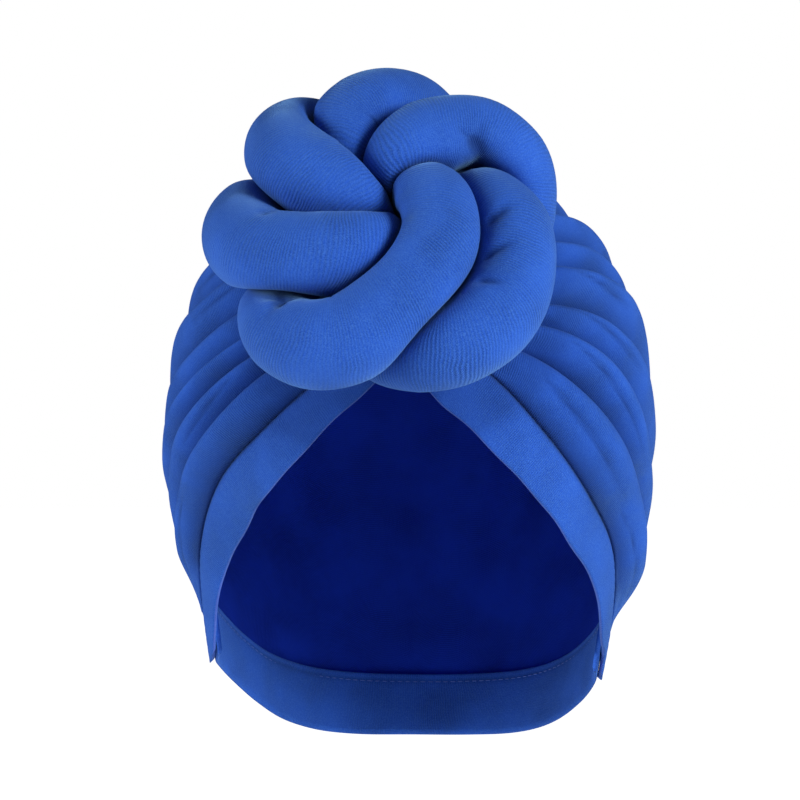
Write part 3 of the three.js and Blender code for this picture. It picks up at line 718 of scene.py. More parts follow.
def crown_side(side):
    hem = hem_ways(side, alongs)
    away = -opening_ways(hem, alongs * HEM_SHARE)
    outer, heights_out, base, directions, masks = [], [], [], [], []
    for row, along in enumerate(alongs):
        shares, heights, crease = fold_row(side, along)
        ways = cloth_way(side, shares, along)
        ways[0] = slide(ways[:1], away[row : row + 1], PIECE_GAP)[0]
        skin = ways * head_reach(ways)[:, None]
        freedom = fold_freedom(skin)
        cut, cut_mask = fine_creases(side, shares, along)
        lumps = waves(11, *(skin.T / LUMP_SIZE)) * LUMP_HEIGHT
        raised = np.maximum(0, (heights + lumps * (heights > 0.5 * MM)) * freedom)
        surface = np.maximum(0, raised - cut * freedom)
        across = arc_lengths(skin)
        gather = np.abs(np.sin(math.pi * across / GATHER_PITCH + 2 * waves(5, across / (30 * MM))))
        surface = surface + GATHER_HEIGHT * gather * smooth(0.84, 0.97, along)
        from_rim = np.minimum(across, (1 - along) * CROWN_RUN)
        rounding = np.sqrt(np.clip(1 - (1 - np.clip(from_rim / HEM_ROUND, 0, 1)) ** 2, 0.04, 1))
        height = surface + CROWN_WALL * rounding
        outer.append(skin + ways * height[:, None])
        heights_out.append(height)
        base.append(skin)
        directions.append(ways)
        # Painted shade in the creases, and the knot's painted shadow.
        mask = np.maximum(crease * freedom, cut_mask * freedom)
        masks.append(np.maximum(mask, knot_shade(skin)))
    lowest = lowest_near(np.array(heights_out), INNER_REACH_ROWS)
    lowest = lowest_near(lowest.T, INNER_REACH_COLUMNS).T
    inside = np.maximum(0, lowest - CROWN_WALL)
    inner = np.array(base) + np.array(directions) * inside[..., None]
    grids = [np.array(outer), inner, np.array(base)]
    for grid in grids:
        grid[np.abs(grid[..., 0]) < 1e-9, 0] = 0
        grid[..., 0] *= SIDES[side]
    return (*grids, np.array(masks))


def joined(right, left):
    return np.concatenate([right, left[:, -2::-1]], axis=1)


right_side, left_side = crown_side("right"), crown_side("left")
outer, inner, base, crease = (joined(r, l) for r, l in zip(right_side, left_side))
print("crown grid", outer.shape)

# %% [markdown]
# Closing the crown.
# The outer face is fine, and the inner one only shows in shadow, so it keeps every third point.
# Faces with six corners join the two along the rims. The inner faces get the darker inside
# material, whose colour is a painted shade, in a slot of its own on the same mesh.

# %% Build the crown
INNER_STEP = 3


def rim(outer_line, inner_line):
    """Faces between a fine rim and a coarse one: each has four fine corners and two coarse."""
    faces = []
    for k in range(len(inner_line) - 1):
        fine = outer_line[k * INNER_STEP : (k + 1) * INNER_STEP + 1]
        faces.append([*fine, inner_line[k + 1], inner_line[k]])
    return faces


def crown_mesh():
    rows, columns = outer.shape[:2]
    keep_rows = np.arange(0, rows, INNER_STEP)
    keep_columns = np.arange(0, columns, INNER_STEP)
    keep_rows[-1], keep_columns[-1] = rows - 1, columns - 1
    small = inner[np.ix_(keep_rows, keep_columns)]
    points = np.concatenate([outer.reshape(-1, 3), small.reshape(-1, 3)])
    shift = rows * columns
    outside, _ = grid_faces(rows, columns)
    inside, _ = grid_faces(len(keep_rows), len(keep_columns))
    ids = np.arange(shift).reshape(rows, columns)
    inner_ids = shift + np.arange(small.shape[0] * small.shape[1]).reshape(small.shape[:2])
    faces = [*outside, *(inside[:, ::-1] + shift)]
    faces += [face[::-1] for face in rim(ids[:, 0], inner_ids[:, 0])]
    faces += rim(ids[:, -1], inner_ids[:, -1])
    faces += [face[::-1] for face in rim(ids[-1], inner_ids[-1])]
    faces += rim(ids[0], inner_ids[0])
    run = arc_lengths(base, axis=0)
    across = arc_lengths(outer, axis=1)
    cloth = np.stack([run, across], -1)
    kept = cloth[np.ix_(keep_rows, keep_columns)]
    cloth = np.concatenate([cloth.reshape(-1, 2), kept.reshape(-1, 2)])
    corners = cloth[np.concatenate([np.asarray(face) for face in faces])]
    mask = {"crease": np.concatenate([crease.ravel(), np.zeros(len(points) - shift)])}
    piece = mesh_piece("crown_cloth", points, faces, corners, mask)
    slots = np.zeros(len(faces), np.int32)
    slots[len(outside) : len(outside) + len(inside)] = 1
    piece.data.polygons.foreach_set("material_index", slots)
    return piece


crown = crown_mesh()
dress(crown, "crown", CROWN_CLOTH)
crown.data.materials.append(CROWN_INSIDE_SHADE)

# %% [markdown]
# The front bands.
# Each is a strip of jersey folded in two, with its fold towards the face and its raw edges in the
# seam beside the crown. A flat strip would look like card, so its section is drawn: soft in the
# middle, a round fold at the face, and a shoulder that dips into the seam. The width changes
# along the band, and where the cloth is pulled tight it leans off the head, so a table gives
# both in millimetres. Its tail is held above the nape band's lower edge, which it is sewn to.

# %% The bands' shape
SEAM_DIP = 0.7
SEAM_DIP_WIDTH = 1.3 * MM
BAND_SOFTNESS = 0.25 * MM
BAND_SEAM = 0.15 * MM
TRIM_FROM_EDGE = 3 * MM
BAND_SHAPE = {
    "right": [
        {"along": 0.00, "width": 15.0, "pull": 0.0},
        {"along": 0.14, "width": 20.5, "pull": 0.0},
        {"along": 0.28, "width": 20.5, "pull": 0.0},
        {"along": 0.44, "width": 18.8, "pull": 1.0},
        {"along": 0.60, "width": 17.5, "pull": 1.5},
        {"along": 0.74, "width": 16.0, "pull": 0.0},
        {"along": 0.84, "width": 14.0, "pull": 0.0},
        {"along": 0.92, "width": 9.0, "pull": 0.0},
        {"along": 1.00, "width": 6.5, "pull": 0.0},
    ],
    "left": [
        {"along": 0.00, "width": 11.5, "pull": 0.0},
        {"along": 0.14, "width": 15.0, "pull": 0.0},
        {"along": 0.28, "width": 17.2, "pull": 0.5},
        {"along": 0.44, "width": 18.8, "pull": 4.5},
        {"along": 0.56, "width": 19.6, "pull": 7.0},
        {"along": 0.66, "width": 18.0, "pull": 4.4},
        {"along": 0.74, "width": 17.0, "pull": 1.4},
        {"along": 0.86, "width": 16.0, "pull": 0.0},
        {"along": 1.00, "width": 12.0, "pull": 0.0},
    ],
}


def band_section(width, wall, dips=0.0):
    """Points round a folded strip, as distance across it and height, in metres."""
    radius = wall / 2
    t = np.linspace(0, 1, 13)
    flat = mix(BAND_SEAM, width - radius, t)
    top = wall * (1 - dips * np.exp(-flat / SEAM_DIP_WIDTH)) + BAND_SOFTNESS * np.sin(math.pi * t)
    angles = np.linspace(math.pi / 2, -math.pi / 2, 9)[1:-1]
    bulge = width - radius + radius * np.cos(angles)
    fold = np.stack([bulge, radius + radius * np.sin(angles)], -1)
    back = np.stack([mix(width - radius, BAND_SEAM, np.linspace(0, 1, 7)), np.zeros(7)], -1)
    return np.concatenate([np.stack([flat, top], -1), fold, back])


def trimmed(side, spots):
    """Directions kept above the nape band's lower edge, and how far the band stands off there."""
    turn = np.degrees(np.arctan2(spots[:, 0], -spots[:, 1]))
    top = nape_drop(side, turn)
    slope = MM / (band_drop(side, turn, MM) - top)
    below = (-spots[:, 2] * head_reach(spots) - top) * slope
    free = NAPE_BAND_HEIGHT - TRIM_FROM_EDGE
    over = np.maximum(0, below - free)
    eased = free + 0.5 * TRIM_FROM_EDGE * (1 - np.exp(-over / TRIM_FROM_EDGE))
    kept = np.where(over > 0, eased, np.clip(below, 0, free))
    moved = unit(low_point(turn, band_drop(side, turn, kept)))
    return np.where((over > 0)[:, None], moved, spots), nape_flare(turn, kept)


print("points round a band", len(band_section(17 * MM, FRONT_BAND_WALL)))

# %% Build the front bands
BAND_ROWS = 168
TAIL_ROWS = 30
HEM_PARTS, TAIL_PARTS = 21, 3
TAIL_TURN = {"right": 6, "left": 8}
TAIL_ROUND = 2 * MM
BLUR_ROWS = 25
EDGE_WAVER = 0.25 * MM
EDGE_WAVER_LENGTH = 9 * MM
PUCKER = {"height": 0.14 * MM, "pitch": 4.3 * MM, "drift": 13 * MM, "width": 3.5 * MM}


def eased_ways(towards, ways):
    """Directions averaged over nearby rows, so that the band doesn't twist in one place."""
    blur = np.ones(BLUR_ROWS) / BLUR_ROWS
    half = BLUR_ROWS // 2
    padded = np.pad(towards, ((half, half), (0, 0)), mode="edge")
    eased = np.stack([np.convolve(padded[:, axis], blur, "valid") for axis in range(3)], -1)
    return unit(eased - (eased * ways).sum(-1, keepdims=True) * ways)


def puckers(run, from_seam):
    """The small, even ripples beside the seam, where the thread pulls the cloth in."""
    phase = run * 2 * math.pi / PUCKER["pitch"] + 2 * math.sin(run / PUCKER["drift"])
    return PUCKER["height"] * math.sin(phase) * np.exp(-from_seam / PUCKER["width"])


def front_band(side):
    places = np.linspace(0, 1, BAND_ROWS)
    ways = hem_ways(side, places)
    end_turn = GUIDES[side][0]["end"]
    low, high = (band_drop(side, end_turn, d) for d in (CROWN_OVERLAP, NAPE_BAND_HEIGHT))
    down = np.linspace(0, 1, TAIL_ROWS + 1)[1:]
    tail = low_point(end_turn + TAIL_TURN[side] * down, mix(low, high, down))
    ways = np.concatenate([ways, unit(tail)])
    share = np.concatenate([places * HEM_PARTS, HEM_PARTS + TAIL_PARTS * down])
    share = share / (HEM_PARTS + TAIL_PARTS)
    towards = eased_ways(opening_ways(ways, share), ways)
    run = arc_lengths(ways * head_reach(ways)[:, None])
    table = BAND_SHAPE[side]
    alongs = [row["along"] for row in table]
    widths = curve_through(alongs, [row["width"] for row in table], share) * MM
    pulls = np.maximum(0, curve_through(alongs, [row["pull"] for row in table], share)) * MM
    from_end = np.minimum(run[-1] - run, TAIL_ROUND) / TAIL_ROUND
    ending = np.sqrt(np.clip(1 - (1 - from_end) ** 2, 0.02, 1))
    rings, cloth, edge_highlight_rows = [], [], []
    for k, way in enumerate(ways):
        section = band_section(widths[k], FRONT_BAND_WALL, SEAM_DIP)
        waver = EDGE_WAVER * waves(3, np.array(run[k] / EDGE_WAVER_LENGTH))
        section[:, 1] += puckers(run[k], section[:, 0]) * (section[:, 1] > MM)
        across = section[:, 0] / widths[k]
        # Mask of the painted highlight along the folded edge.
        edge_highlight_rows.append(smooth(0.8, 1.0, 1 + 2 * (section[:, 0] - widths[k]) / FRONT_BAND_WALL))
        height = section[:, 1] * ending[k]
        distance = across * math.sqrt(widths[k] ** 2 - pulls[k] ** 2) + waver * across**3
        spots = slide(np.repeat(way[None], len(section), 0), towards[k], distance)
        spots, flare = trimmed(side, spots)
        ring = spots * (head_reach(spots) + height + flare - pulls[k] * across)[:, None]
        ring[:, 0] = np.maximum(ring[:, 0], PIECE_GAP / 2)
        rings.append(ring)
        around = arc_lengths(np.concatenate([section, section[:1]]))
        cloth.append(np.stack([np.full(len(around), run[k]), around], -1))
    rings = np.array(rings)
    rings[..., 0] *= SIDES[side]
    rows, columns = rings.shape[:2]
    faces, corners = grid_faces(rows, columns, wrap_columns=True)
    uv = np.array(cloth).reshape(-1, 2)
    if side == "right":
        faces, corners = faces[:, ::-1], corners[:, ::-1]
    ends = [list(range(columns)), list(range((rows - 1) * columns, rows * columns))]
    ends = [ends[0], ends[1][::-1]] if side == "right" else [ends[0][::-1], ends[1]]
    all_corners = np.concatenate([uv[corners.ravel()], *[np.zeros((columns, 2)) for _ in ends]])
    across = np.tile(band_section(1.0, FRONT_BAND_WALL)[:, 0], (rows, 1)) * widths[:, None]
    # Painted shade along the seam beside the crown, the knot's painted shadow, and the edge
    # highlight.
    masks = {
        "crease": np.maximum(0.8 * np.exp(-across / (1.2 * MM)), knot_shade(rings)).ravel(),
        "edge_highlight": np.array(edge_highlight_rows).ravel(),
    }
    piece = mesh_piece(
        f"front_band_{side}_cloth", rings.reshape(-1, 3), [*faces, *ends], all_corners, masks
    )
    area = float((widths[1:] * np.diff(run)).sum())
    print(piece.name, "is", round(float(run[-1]), 3), "m long")
    return piece, float(run[-1]), area / float(run[-1])


band_pieces = {side: front_band(side) for side in SIDES}
for side, (piece, _, _) in band_pieces.items():
    dress(piece, f"front_band_{side}", BAND_CLOTH)

# %% [markdown]
# The nape band.
# It is a doubled strip too, round the back of the neck, with both edges folded and one row of
# stitches a few millimetres below its top edge. Its inner face shows through the opening. The
# neck is narrower than the head, and nothing holds the band's lower edge in, so it stands off
# a little at the sides. The stitches pull a shallow groove into both faces.

# %% Build the nape band
NAPE_ROWS = 220
STITCH_INSET = 4 * MM
GROOVE_DEPTH = 0.28 * MM
GROOVE_WIDTH = 0.7 * MM
NAPE_SOFTNESS = 0.15 * MM
SWAY = {"height": 0.18 * MM, "down": 9 * MM, "along": 11 * MM}
TUCK_TURN = math.degrees(NAPE_TUCK / HEAD_HALF_WIDTH)
first_turn = GUIDES["right"][0]["end"] - 1.4 * TUCK_TURN
last_turn = 360 - (GUIDES["left"][0]["end"] - 2 * TUCK_TURN)
nape_turns = np.linspace(first_turn, last_turn, NAPE_ROWS)


def nape_point(turn, distance, offset):
    """A point on the nape band, by its distance below the top edge and its offset from the head."""
    side = "left" if np.mean(turn) > 180 else "right"
    from_front = 360 - turn if side == "left" else turn
    spot = low_point(turn, band_drop(side, from_front, distance))
    reach = np.linalg.norm(spot, axis=-1, keepdims=True)
    stand = np.asarray(offset) + nape_flare(turn, distance)
    return spot * (reach + stand[..., None]) / reach


def nape_line(distance, offset, turns):
    """A line along the nape band at one distance below its top edge."""
    at = [nape_point(np.array([t]), np.array([distance]), np.array([offset])) for t in turns]
    return np.concatenate(at)


def nape_section():
    """Points round the band's section: outer face down, fold, inner face up, fold."""
    radius = NAPE_BAND_WALL / 2
    flat = np.linspace(radius, NAPE_BAND_HEIGHT - radius, 21)
    groove = GROOVE_DEPTH * np.exp(-(((flat - STITCH_INSET) / GROOVE_WIDTH) ** 2))
    soft = NAPE_SOFTNESS * np.sin(math.pi * flat / NAPE_BAND_HEIGHT)
    angles = np.linspace(math.pi / 2, -math.pi / 2, 9)[1:-1]
    bulge, rise = radius * np.cos(angles), radius * np.sin(angles)
    lower = np.stack([NAPE_BAND_HEIGHT - radius + bulge, rise], -1)
    upper = np.stack([radius - bulge, -rise], -1)
    outside = np.stack([flat, radius - groove + soft], -1)
    inside = np.stack([flat, -radius + groove - soft], -1)[::-1]
    return np.concatenate([outside, lower, inside, upper])


def nape_band():
    section = nape_section()
    middle = -PIECE_GAP - NAPE_BAND_WALL / 2
    rings, cloth = [], []
    run = arc_lengths(nape_line(0.0, middle, nape_turns))
    around = arc_lengths(np.concatenate([section, section[:1]]))
    for k, turn in enumerate(nape_turns):
        here = np.full(len(section), run[k] / SWAY["along"])
        sway = SWAY["height"] * waves(7, section[:, 0] / SWAY["down"], here)
        offsets = middle + section[:, 1] + sway
        rings.append(nape_point(np.full(len(section), turn), section[:, 0], offsets))
        cloth.append(np.stack([np.full(len(around), run[k]), around], -1))
    columns = len(section)
    faces, corners = grid_faces(NAPE_ROWS, columns, wrap_columns=True)
    uv = np.array(cloth).reshape(-1, 2)
    last = (NAPE_ROWS - 1) * columns
    ends = [list(range(columns))[::-1], list(range(last, last + columns))]
    # Painted shade in the groove the stitches pull in.
    groove = np.exp(-(((section[:, 0] - STITCH_INSET) / (0.6 * MM)) ** 2)) * 0.7
    all_corners = np.concatenate([uv[corners.ravel()], np.zeros((2 * columns, 2))])
    points = np.array(rings).reshape(-1, 3)
    mask = {"crease": np.tile(groove, NAPE_ROWS)}
    return mesh_piece("nape_band_cloth", points, [*faces, *ends], all_corners, mask), float(run[-1])


nape_piece, nape_length = nape_band()
dress(nape_piece, "nape_band", BAND_CLOTH)

# %% [markdown]
# The knot's rolls.
# Each roll is a jersey tube filled with wadding, bent through the knot as one closed loop. The
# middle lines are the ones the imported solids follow. Each row is one stop of a line: its place
# across and up the knot's plane in shares of the knot's radius, then how far it is lifted and
# how thick the roll is there, in shares of the roll's radius.

# %% Middle lines of the rolls
ROLL_LINES = {
    "knot_roll_a": [
        (0.10, 0.26, 0.10, 0.60),
        (0.20, 0.22, 0.70, 0.85),
        (0.28, 0.06, 0.95, 0.95),
        (0.29, -0.14, 1.00, 1.00),
        (0.18, -0.37, 1.00, 1.00),
        (-0.01, -0.57, 1.00, 1.00),
        (-0.21, -0.70, 1.00, 1.00),
        (-0.41, -0.70, 0.90, 1.00),
        (-0.57, -0.56, 0.50, 1.00),
        (-0.62, -0.30, -0.25, 0.90),
        (-0.45, 0.05, -0.95, 0.85),
        (-0.22, 0.20, -0.70, 0.60),
        (-0.06, 0.15, 0.10, 0.60),
        (-0.22, 0.20, 0.80, 0.80),
        (-0.42, 0.33, 1.00, 1.00),
        (-0.56, 0.51, 1.00, 1.00),
        (-0.60, 0.71, 0.75, 1.00),
        (-0.54, 0.95, 0.20, 0.95),
        (-0.43, 1.08, -0.55, 0.90),
        (-0.27, 0.92, -0.95, 0.80),
        (-0.14, 0.58, -0.60, 0.60),
        (-0.02, 0.32, 0.20, 0.60),
        (0.06, 0.45, 0.85, 0.85),
        (0.22, 0.60, 1.00, 1.00),
        (0.39, 0.68, 1.00, 1.00),
        (0.55, 0.69, 0.90, 1.00),
        (0.68, 0.62, 0.60, 1.00),
        (0.74, 0.48, 0.05, 0.95),
        (0.71, 0.30, -0.65, 0.90),
        (0.54, 0.10, -1.00, 0.95),
        (0.29, 0.13, -0.75, 0.65),
    ],
    "knot_roll_b": [
        (0.03, -0.01, 0.10, 0.65),
        (-0.13, -0.15, 0.75, 0.85),
        (-0.32, -0.21, 1.00, 0.95),
        (-0.51, -0.20, 1.00, 1.00),
        (-0.68, -0.13, 0.90, 1.00),
        (-0.81, 0.06, 0.50, 1.04),
        (-0.80, 0.32, -0.20, 1.00),
        (-0.62, 0.52, -0.90, 0.85),
        (-0.36, 0.53, -0.75, 0.65),
        (-0.18, 0.48, 0.10, 0.60),
        (-0.24, 0.58, 0.65, 0.80),
        (-0.25, 0.75, 0.85, 0.92),
        (-0.15, 0.91, 0.88, 0.98),
        (-0.01, 1.04, 0.70, 0.98),
        (0.13, 1.12, 0.20, 0.95),
        (0.27, 1.05, -0.55, 0.90),
        (0.40, 0.75, -0.95, 0.80),
        (0.46, 0.45, -0.20, 0.75),
        (0.59, 0.22, 0.55, 0.90),
        (0.69, 0.04, 0.80, 1.00),
        (0.72, -0.13, 0.82, 1.00),
        (0.69, -0.35, 0.76, 1.00),
        (0.56, -0.54, 0.70, 1.00),
        (0.39, -0.64, 0.55, 1.00),
        (0.19, -0.64, 0.20, 1.00),
        (0.00, -0.52, -0.50, 0.90),
        (-0.13, -0.25, -1.00, 0.85),
        (-0.04, 0.03, -0.70, 0.65),
    ],
}
ROLL_STATIONS = 340
FINE_STEPS = 60


def closed_line(stops):
    """Many points of the smooth closed curve through the stops, with the stop each lies at."""
    p = [np.roll(stops, shift, axis=0) for shift in (1, 0, -1, -2)]
    d = [np.sqrt(np.linalg.norm(p[k + 1] - p[k], axis=1))[:, None] for k in range(3)]
    start = d[1] * ((p[1] - p[0]) / d[0] - (p[2] - p[0]) / (d[0] + d[1]) + (p[2] - p[1]) / d[1])
    end = d[1] * ((p[2] - p[1]) / d[1] - (p[3] - p[1]) / (d[1] + d[2]) + (p[3] - p[2]) / d[2])
    t = np.linspace(0, 1, FINE_STEPS, endpoint=False)[None, :, None]
    begin = (2 * t**3 - 3 * t**2 + 1) * p[1][:, None] + (t**3 - 2 * t**2 + t) * start[:, None]
    finish = (3 * t**2 - 2 * t**3) * p[2][:, None] + (t**3 - t**2) * end[:, None]
    place = np.arange(len(stops))[:, None] + t[..., 0]
    return (begin + finish).reshape(-1, 3), place.ravel()


def roll_stations(rows):
    """Evenly spaced centres along a roll's middle line, with its way ahead and its girth."""
    table = np.array(rows)
    across, up, lift, girth = table.T
    dome = KNOT_RADIUS**2 * (across**2 + up**2) / (2 * HEAD_TOP)
    stand = ROLL_RADIUS * (KNOT_STAND_SHARE + lift) - dome
    stops = KNOT_SEAT + KNOT_RADIUS * (np.outer(across, KNOT_ACROSS) + np.outer(up, KNOT_UP))
    line, place = closed_line(stops + np.outer(stand, KNOT_FACE))
    closed = np.concatenate([line, line[:1]])
    run = arc_lengths(closed)
    at = np.linspace(0, run[-1], ROLL_STATIONS, endpoint=False)
    centres = np.stack([np.interp(at, run, closed[:, axis]) for axis in range(3)], -1)
    places = np.interp(at, run, np.append(place, len(rows)))
    girths = np.interp(places, np.arange(len(rows) + 1), np.append(girth, girth[0])) * ROLL_RADIUS
    ahead = unit(np.roll(centres, -1, 0) - np.roll(centres, 1, 0))
    return {"centres": centres, "ahead": ahead, "girths": girths, "run": at, "length": run[-1]}


def turning_frames(ahead):
    """Two directions square to the line at each station that turn as little as they can."""
    across = unit(KNOT_FACE - (KNOT_FACE @ ahead[0]) * ahead[0])
    frames = [across]
    for way in np.roll(ahead, -1, 0):
        across = unit(across - (across @ way) * way)
        frames.append(across)
    sideways = np.cross(ahead[0], frames[0])
    left_over = math.atan2(frames[-1] @ sideways, frames[-1] @ frames[0])
    out = np.array(frames[:-1])
    side = np.cross(ahead, out)
    turn = (-left_over * np.arange(len(out)) / len(out))[:, None]
    return out * np.cos(turn) + side * np.sin(turn), side * np.cos(turn) - out * np.sin(turn)


rolls = {name: roll_stations(rows) for name, rows in ROLL_LINES.items()}
print("roll lengths", {name: round(float(roll["length"]), 3) for name, roll in rolls.items()})

# %% [markdown]
# Pressing a roll.
# Round tubes would only cross their neighbours, so every point of a roll stops half way to the
# nearest other stretch of roll, and above the crown. That presses the rolls flat against each
# other with a clean crease between them. A hard cut would leave a sharp rim round the flat, which
# wadding never has, so the two limits are joined by a soft minimum that rounds its shoulder.

# %% Press the rolls
ROLL_SIDES = 68
ROLL_GAP = 0.3 * MM
OWN_REACH = 2.4
LEAST_GIRTH = 0.14
SHOULDER = 2.0 * MM
HALVINGS = 16


def pressed_radii(own, foreign):
    """Radii round each station, cut short half way to other stretches and above the crown."""
    out, side = turning_frames(own["ahead"])
    angles = np.linspace(0, 2 * math.pi, ROLL_SIDES, endpoint=False)
    ways = out[:, None] * np.cos(angles)[:, None] + side[:, None] * np.sin(angles)[:, None]
    count = len(own["centres"])
    near = math.ceil(OWN_REACH * ROLL_RADIUS / (own["length"] / count))
    radii = np.repeat(own["girths"][:, None], ROLL_SIDES, axis=1)
    order = np.arange(count)
    for k in range(count):
        steps = np.abs(order - k)
        far = np.minimum(steps, count - steps) > near
        others = np.concatenate([foreign["centres"], own["centres"][far]]) - own["centres"][k]
        distance = np.linalg.norm(others, axis=1)
        facing = ways[k] @ others.T
        half_way = (distance - ROLL_GAP) / 2 * distance / np.maximum(facing, 1e-6)
        both = np.stack([radii[k], half_way.min(axis=1)]) / SHOULDER
        radii[k] = -SHOULDER * np.logaddexp(-both[0], -both[1])
    least, most = np.full_like(radii, LEAST_GIRTH * ROLL_RADIUS), radii.copy()
    for _ in range(HALVINGS):
        middle = (least + most) / 2
        points = own["centres"][:, None] + ways * middle[..., None]
        reach = np.linalg.norm(points, axis=-1)
        folds = FOLD_HEIGHT * smooth(FOLD_STARTS_AT, FOLD_FULL_AT, knot_distance(points))
        clear = reach - head_reach(unit(points)) - CROWN_WALL - folds - PIECE_GAP > 0
        least, most = np.where(clear, middle, least), np.where(clear, most, middle)
    return np.maximum(np.minimum(radii, most), LEAST_GIRTH * ROLL_RADIUS), ways


# %% [markdown]
# Wrinkles and dents.
# A full roll can't bend without its cloth creasing on the inside of the bend, so small creases
# are cut where the line curves, and slow lumps make the wadding uneven. A few dents are listed
# where the maker's hidden stitches pull the cloth in. A table keeps them apart for each
# roll, because a dent that reached the next roll would pinch it too.

# %% Dents
# Dents in the knot, each a line from its deep end to where it dies out. Places are shares of the
# knot's radius across and up its plane, widths are shares of the same, depths are millimetres.
KNOT_DENTS = {
    "knot_roll_a": [
        {"start": (0.54, 0.51), "end": (0.47, 0.57), "depth": 3.0, "width": 0.055},
        {"start": (0.52, 0.53), "end": (0.38, 0.60), "depth": 1.4, "width": 0.030},
        {"start": (0.54, 0.53), "end": (0.57, 0.70), "depth": 1.4, "width": 0.030},
        {"start": (-0.60, -0.46), "end": (-0.65, -0.60), "depth": 4.0, "width": 0.050},
        {"start": (-0.56, -0.46), "end": (-0.76, -0.46), "depth": 3.0, "width": 0.045},
        {"start": (-0.64, -0.55), "end": (-0.74, -0.68), "depth": 1.5, "width": 0.030},
    ],
    "knot_roll_b": [
        {"start": (0.60, -0.03), "end": (0.76, 0.07), "depth": 2.6, "width": 0.038},
        {"start": (0.58, -0.25), "end": (0.76, -0.19), "depth": 2.3, "width": 0.034},
        {"start": (0.55, -0.42), "end": (0.72, -0.46), "depth": 2.0, "width": 0.034},
        {"start": (-0.70, 0.03), "end": (-0.76, 0.00), "depth": 1.6, "width": 0.040},
    ],
}


def dent_depths(name, points):
    """How deep the dents are at points near the knot, and the painted shade in them."""
    offset = points - KNOT_SEAT
    across, up = (offset @ axis / KNOT_RADIUS for axis in (KNOT_ACROSS, KNOT_UP))
    front = smooth(0.6 * ROLL_RADIUS, 1.6 * ROLL_RADIUS, offset @ KNOT_FACE)
    depth = np.zeros_like(across)
    for row in KNOT_DENTS[name]:
        (x, y), (end_x, end_y) = row["start"], row["end"]
        length = math.hypot(end_x - x, end_y - y)
        to_x, to_y = (end_x - x) / length, (end_y - y) / length
        along = np.clip((across - x) * to_x + (up - y) * to_y, 0, length)
        aside = np.hypot(across - x - along * to_x, up - y - along * to_y)
        taper = 1 - (along / length) ** 2
        near = np.exp(-((aside / row["width"]) ** 1.3)) * taper
        depth = np.maximum(depth, row["depth"] * MM * near)
    return depth * front, 0.8 * smooth(0.3 * MM, 2.2 * MM, depth * front)


print("dents", {name: len(rows) for name, rows in KNOT_DENTS.items()})

# %% Build the rolls
WRINKLE_PITCH = 6.5 * MM
WRINKLE_DEPTH = 0.9 * MM
PADDING_DEPTH = 12 * MM
LUMPS = {"small": 13 * MM, "broad": 24 * MM, "small_share": 0.016, "broad_share": 0.022}
PRESSED_SHADE = {"from": 0.02, "to": 0.24, "mask": 0.85}
DEEP_SHADE = {"from": 1.9, "to": 3.1, "mask": 0.5}


def wrinkled(name, own, radii, ways, seed):
    """Radii with soft lumps, and creases on the inside of each bend."""
    bend = np.roll(own["ahead"], -1, 0) - np.roll(own["ahead"], 1, 0)
    bend /= 2 * own["length"] / len(bend)
    tight = np.linalg.norm(bend, axis=1)
    inside = np.clip((ways * (bend / tight[:, None])[:, None]).sum(-1), 0, 1)
    strength = smooth(0.35, 1.1, tight * ROLL_RADIUS)[:, None] * inside**2
    free = smooth(0.80, 0.95, radii / own["girths"][:, None])
    run = own["run"][:, None]
    padding = np.moveaxis(own["centres"][:, None] + ways * PADDING_DEPTH, -1, 0)
    uneven = waves(seed, *(padding / LUMPS["small"]))
    phase = math.pi * run / WRINKLE_PITCH + 1.4 * uneven
    crease = (1 - np.abs(np.sin(phase))) ** 3
    broad = waves(seed + 40, *(padding / LUMPS["broad"]))
    lumps = LUMPS["small_share"] * uneven + LUMPS["broad_share"] * broad
    lumps = own["girths"][:, None] * lumps
    depth = WRINKLE_DEPTH * strength * crease * free
    dents, dent_mask = dent_depths(name, own["centres"][:, None] + ways * radii[..., None])
    # Painted shade in the wrinkles on the inside of each bend and in the dents.
    mask = np.maximum(0.6 * strength * crease * free, dent_mask)
    return radii + lumps * free - depth - dents, mask


def roll_piece(name, own, foreign, seed):
    radii, ways = pressed_radii(own, foreign)
    pressed = 1 - radii / own["girths"][:, None]
    radii, wrinkles = wrinkled(name, own, radii, ways, seed)
    points = own["centres"][:, None] + ways * radii[..., None]
    faces, corners = grid_faces(ROLL_STATIONS, ROLL_SIDES, wrap_rows=True, wrap_columns=True)
    run = np.append(own["run"], own["length"])
    around = np.linspace(0, 2 * math.pi * ROLL_RADIUS, ROLL_SIDES + 1)
    cloth = np.stack(np.meshgrid(run, around, indexing="ij"), -1).reshape(-1, 2)
    # Painted shade: deep down towards the crown, and where the rolls press flat on each other.
    above = (points - KNOT_SEAT) @ KNOT_FACE
    low = [-DEEP_SHADE["to"] * ROLL_RADIUS, -DEEP_SHADE["from"] * ROLL_RADIUS]
    deep = DEEP_SHADE["mask"] * smooth(*low, -above)
    deep = deep * (1 - smooth(0.7, 1.0, knot_distance(points)))
    flat = PRESSED_SHADE["mask"] * smooth(PRESSED_SHADE["from"], PRESSED_SHADE["to"], pressed)
    mask = {"crease": np.maximum(np.maximum(wrinkles, deep), flat).ravel()}
    uv = cloth[corners.ravel()]
    piece = mesh_piece(f"{name}_cloth", points.reshape(-1, 3), faces, uv, mask)
    dress(piece, name, ROLL_CLOTH)


roll_piece("knot_roll_a", rolls["knot_roll_a"], rolls["knot_roll_b"], seed=21)
roll_piece("knot_roll_b", rolls["knot_roll_b"], rolls["knot_roll_a"], seed=22)
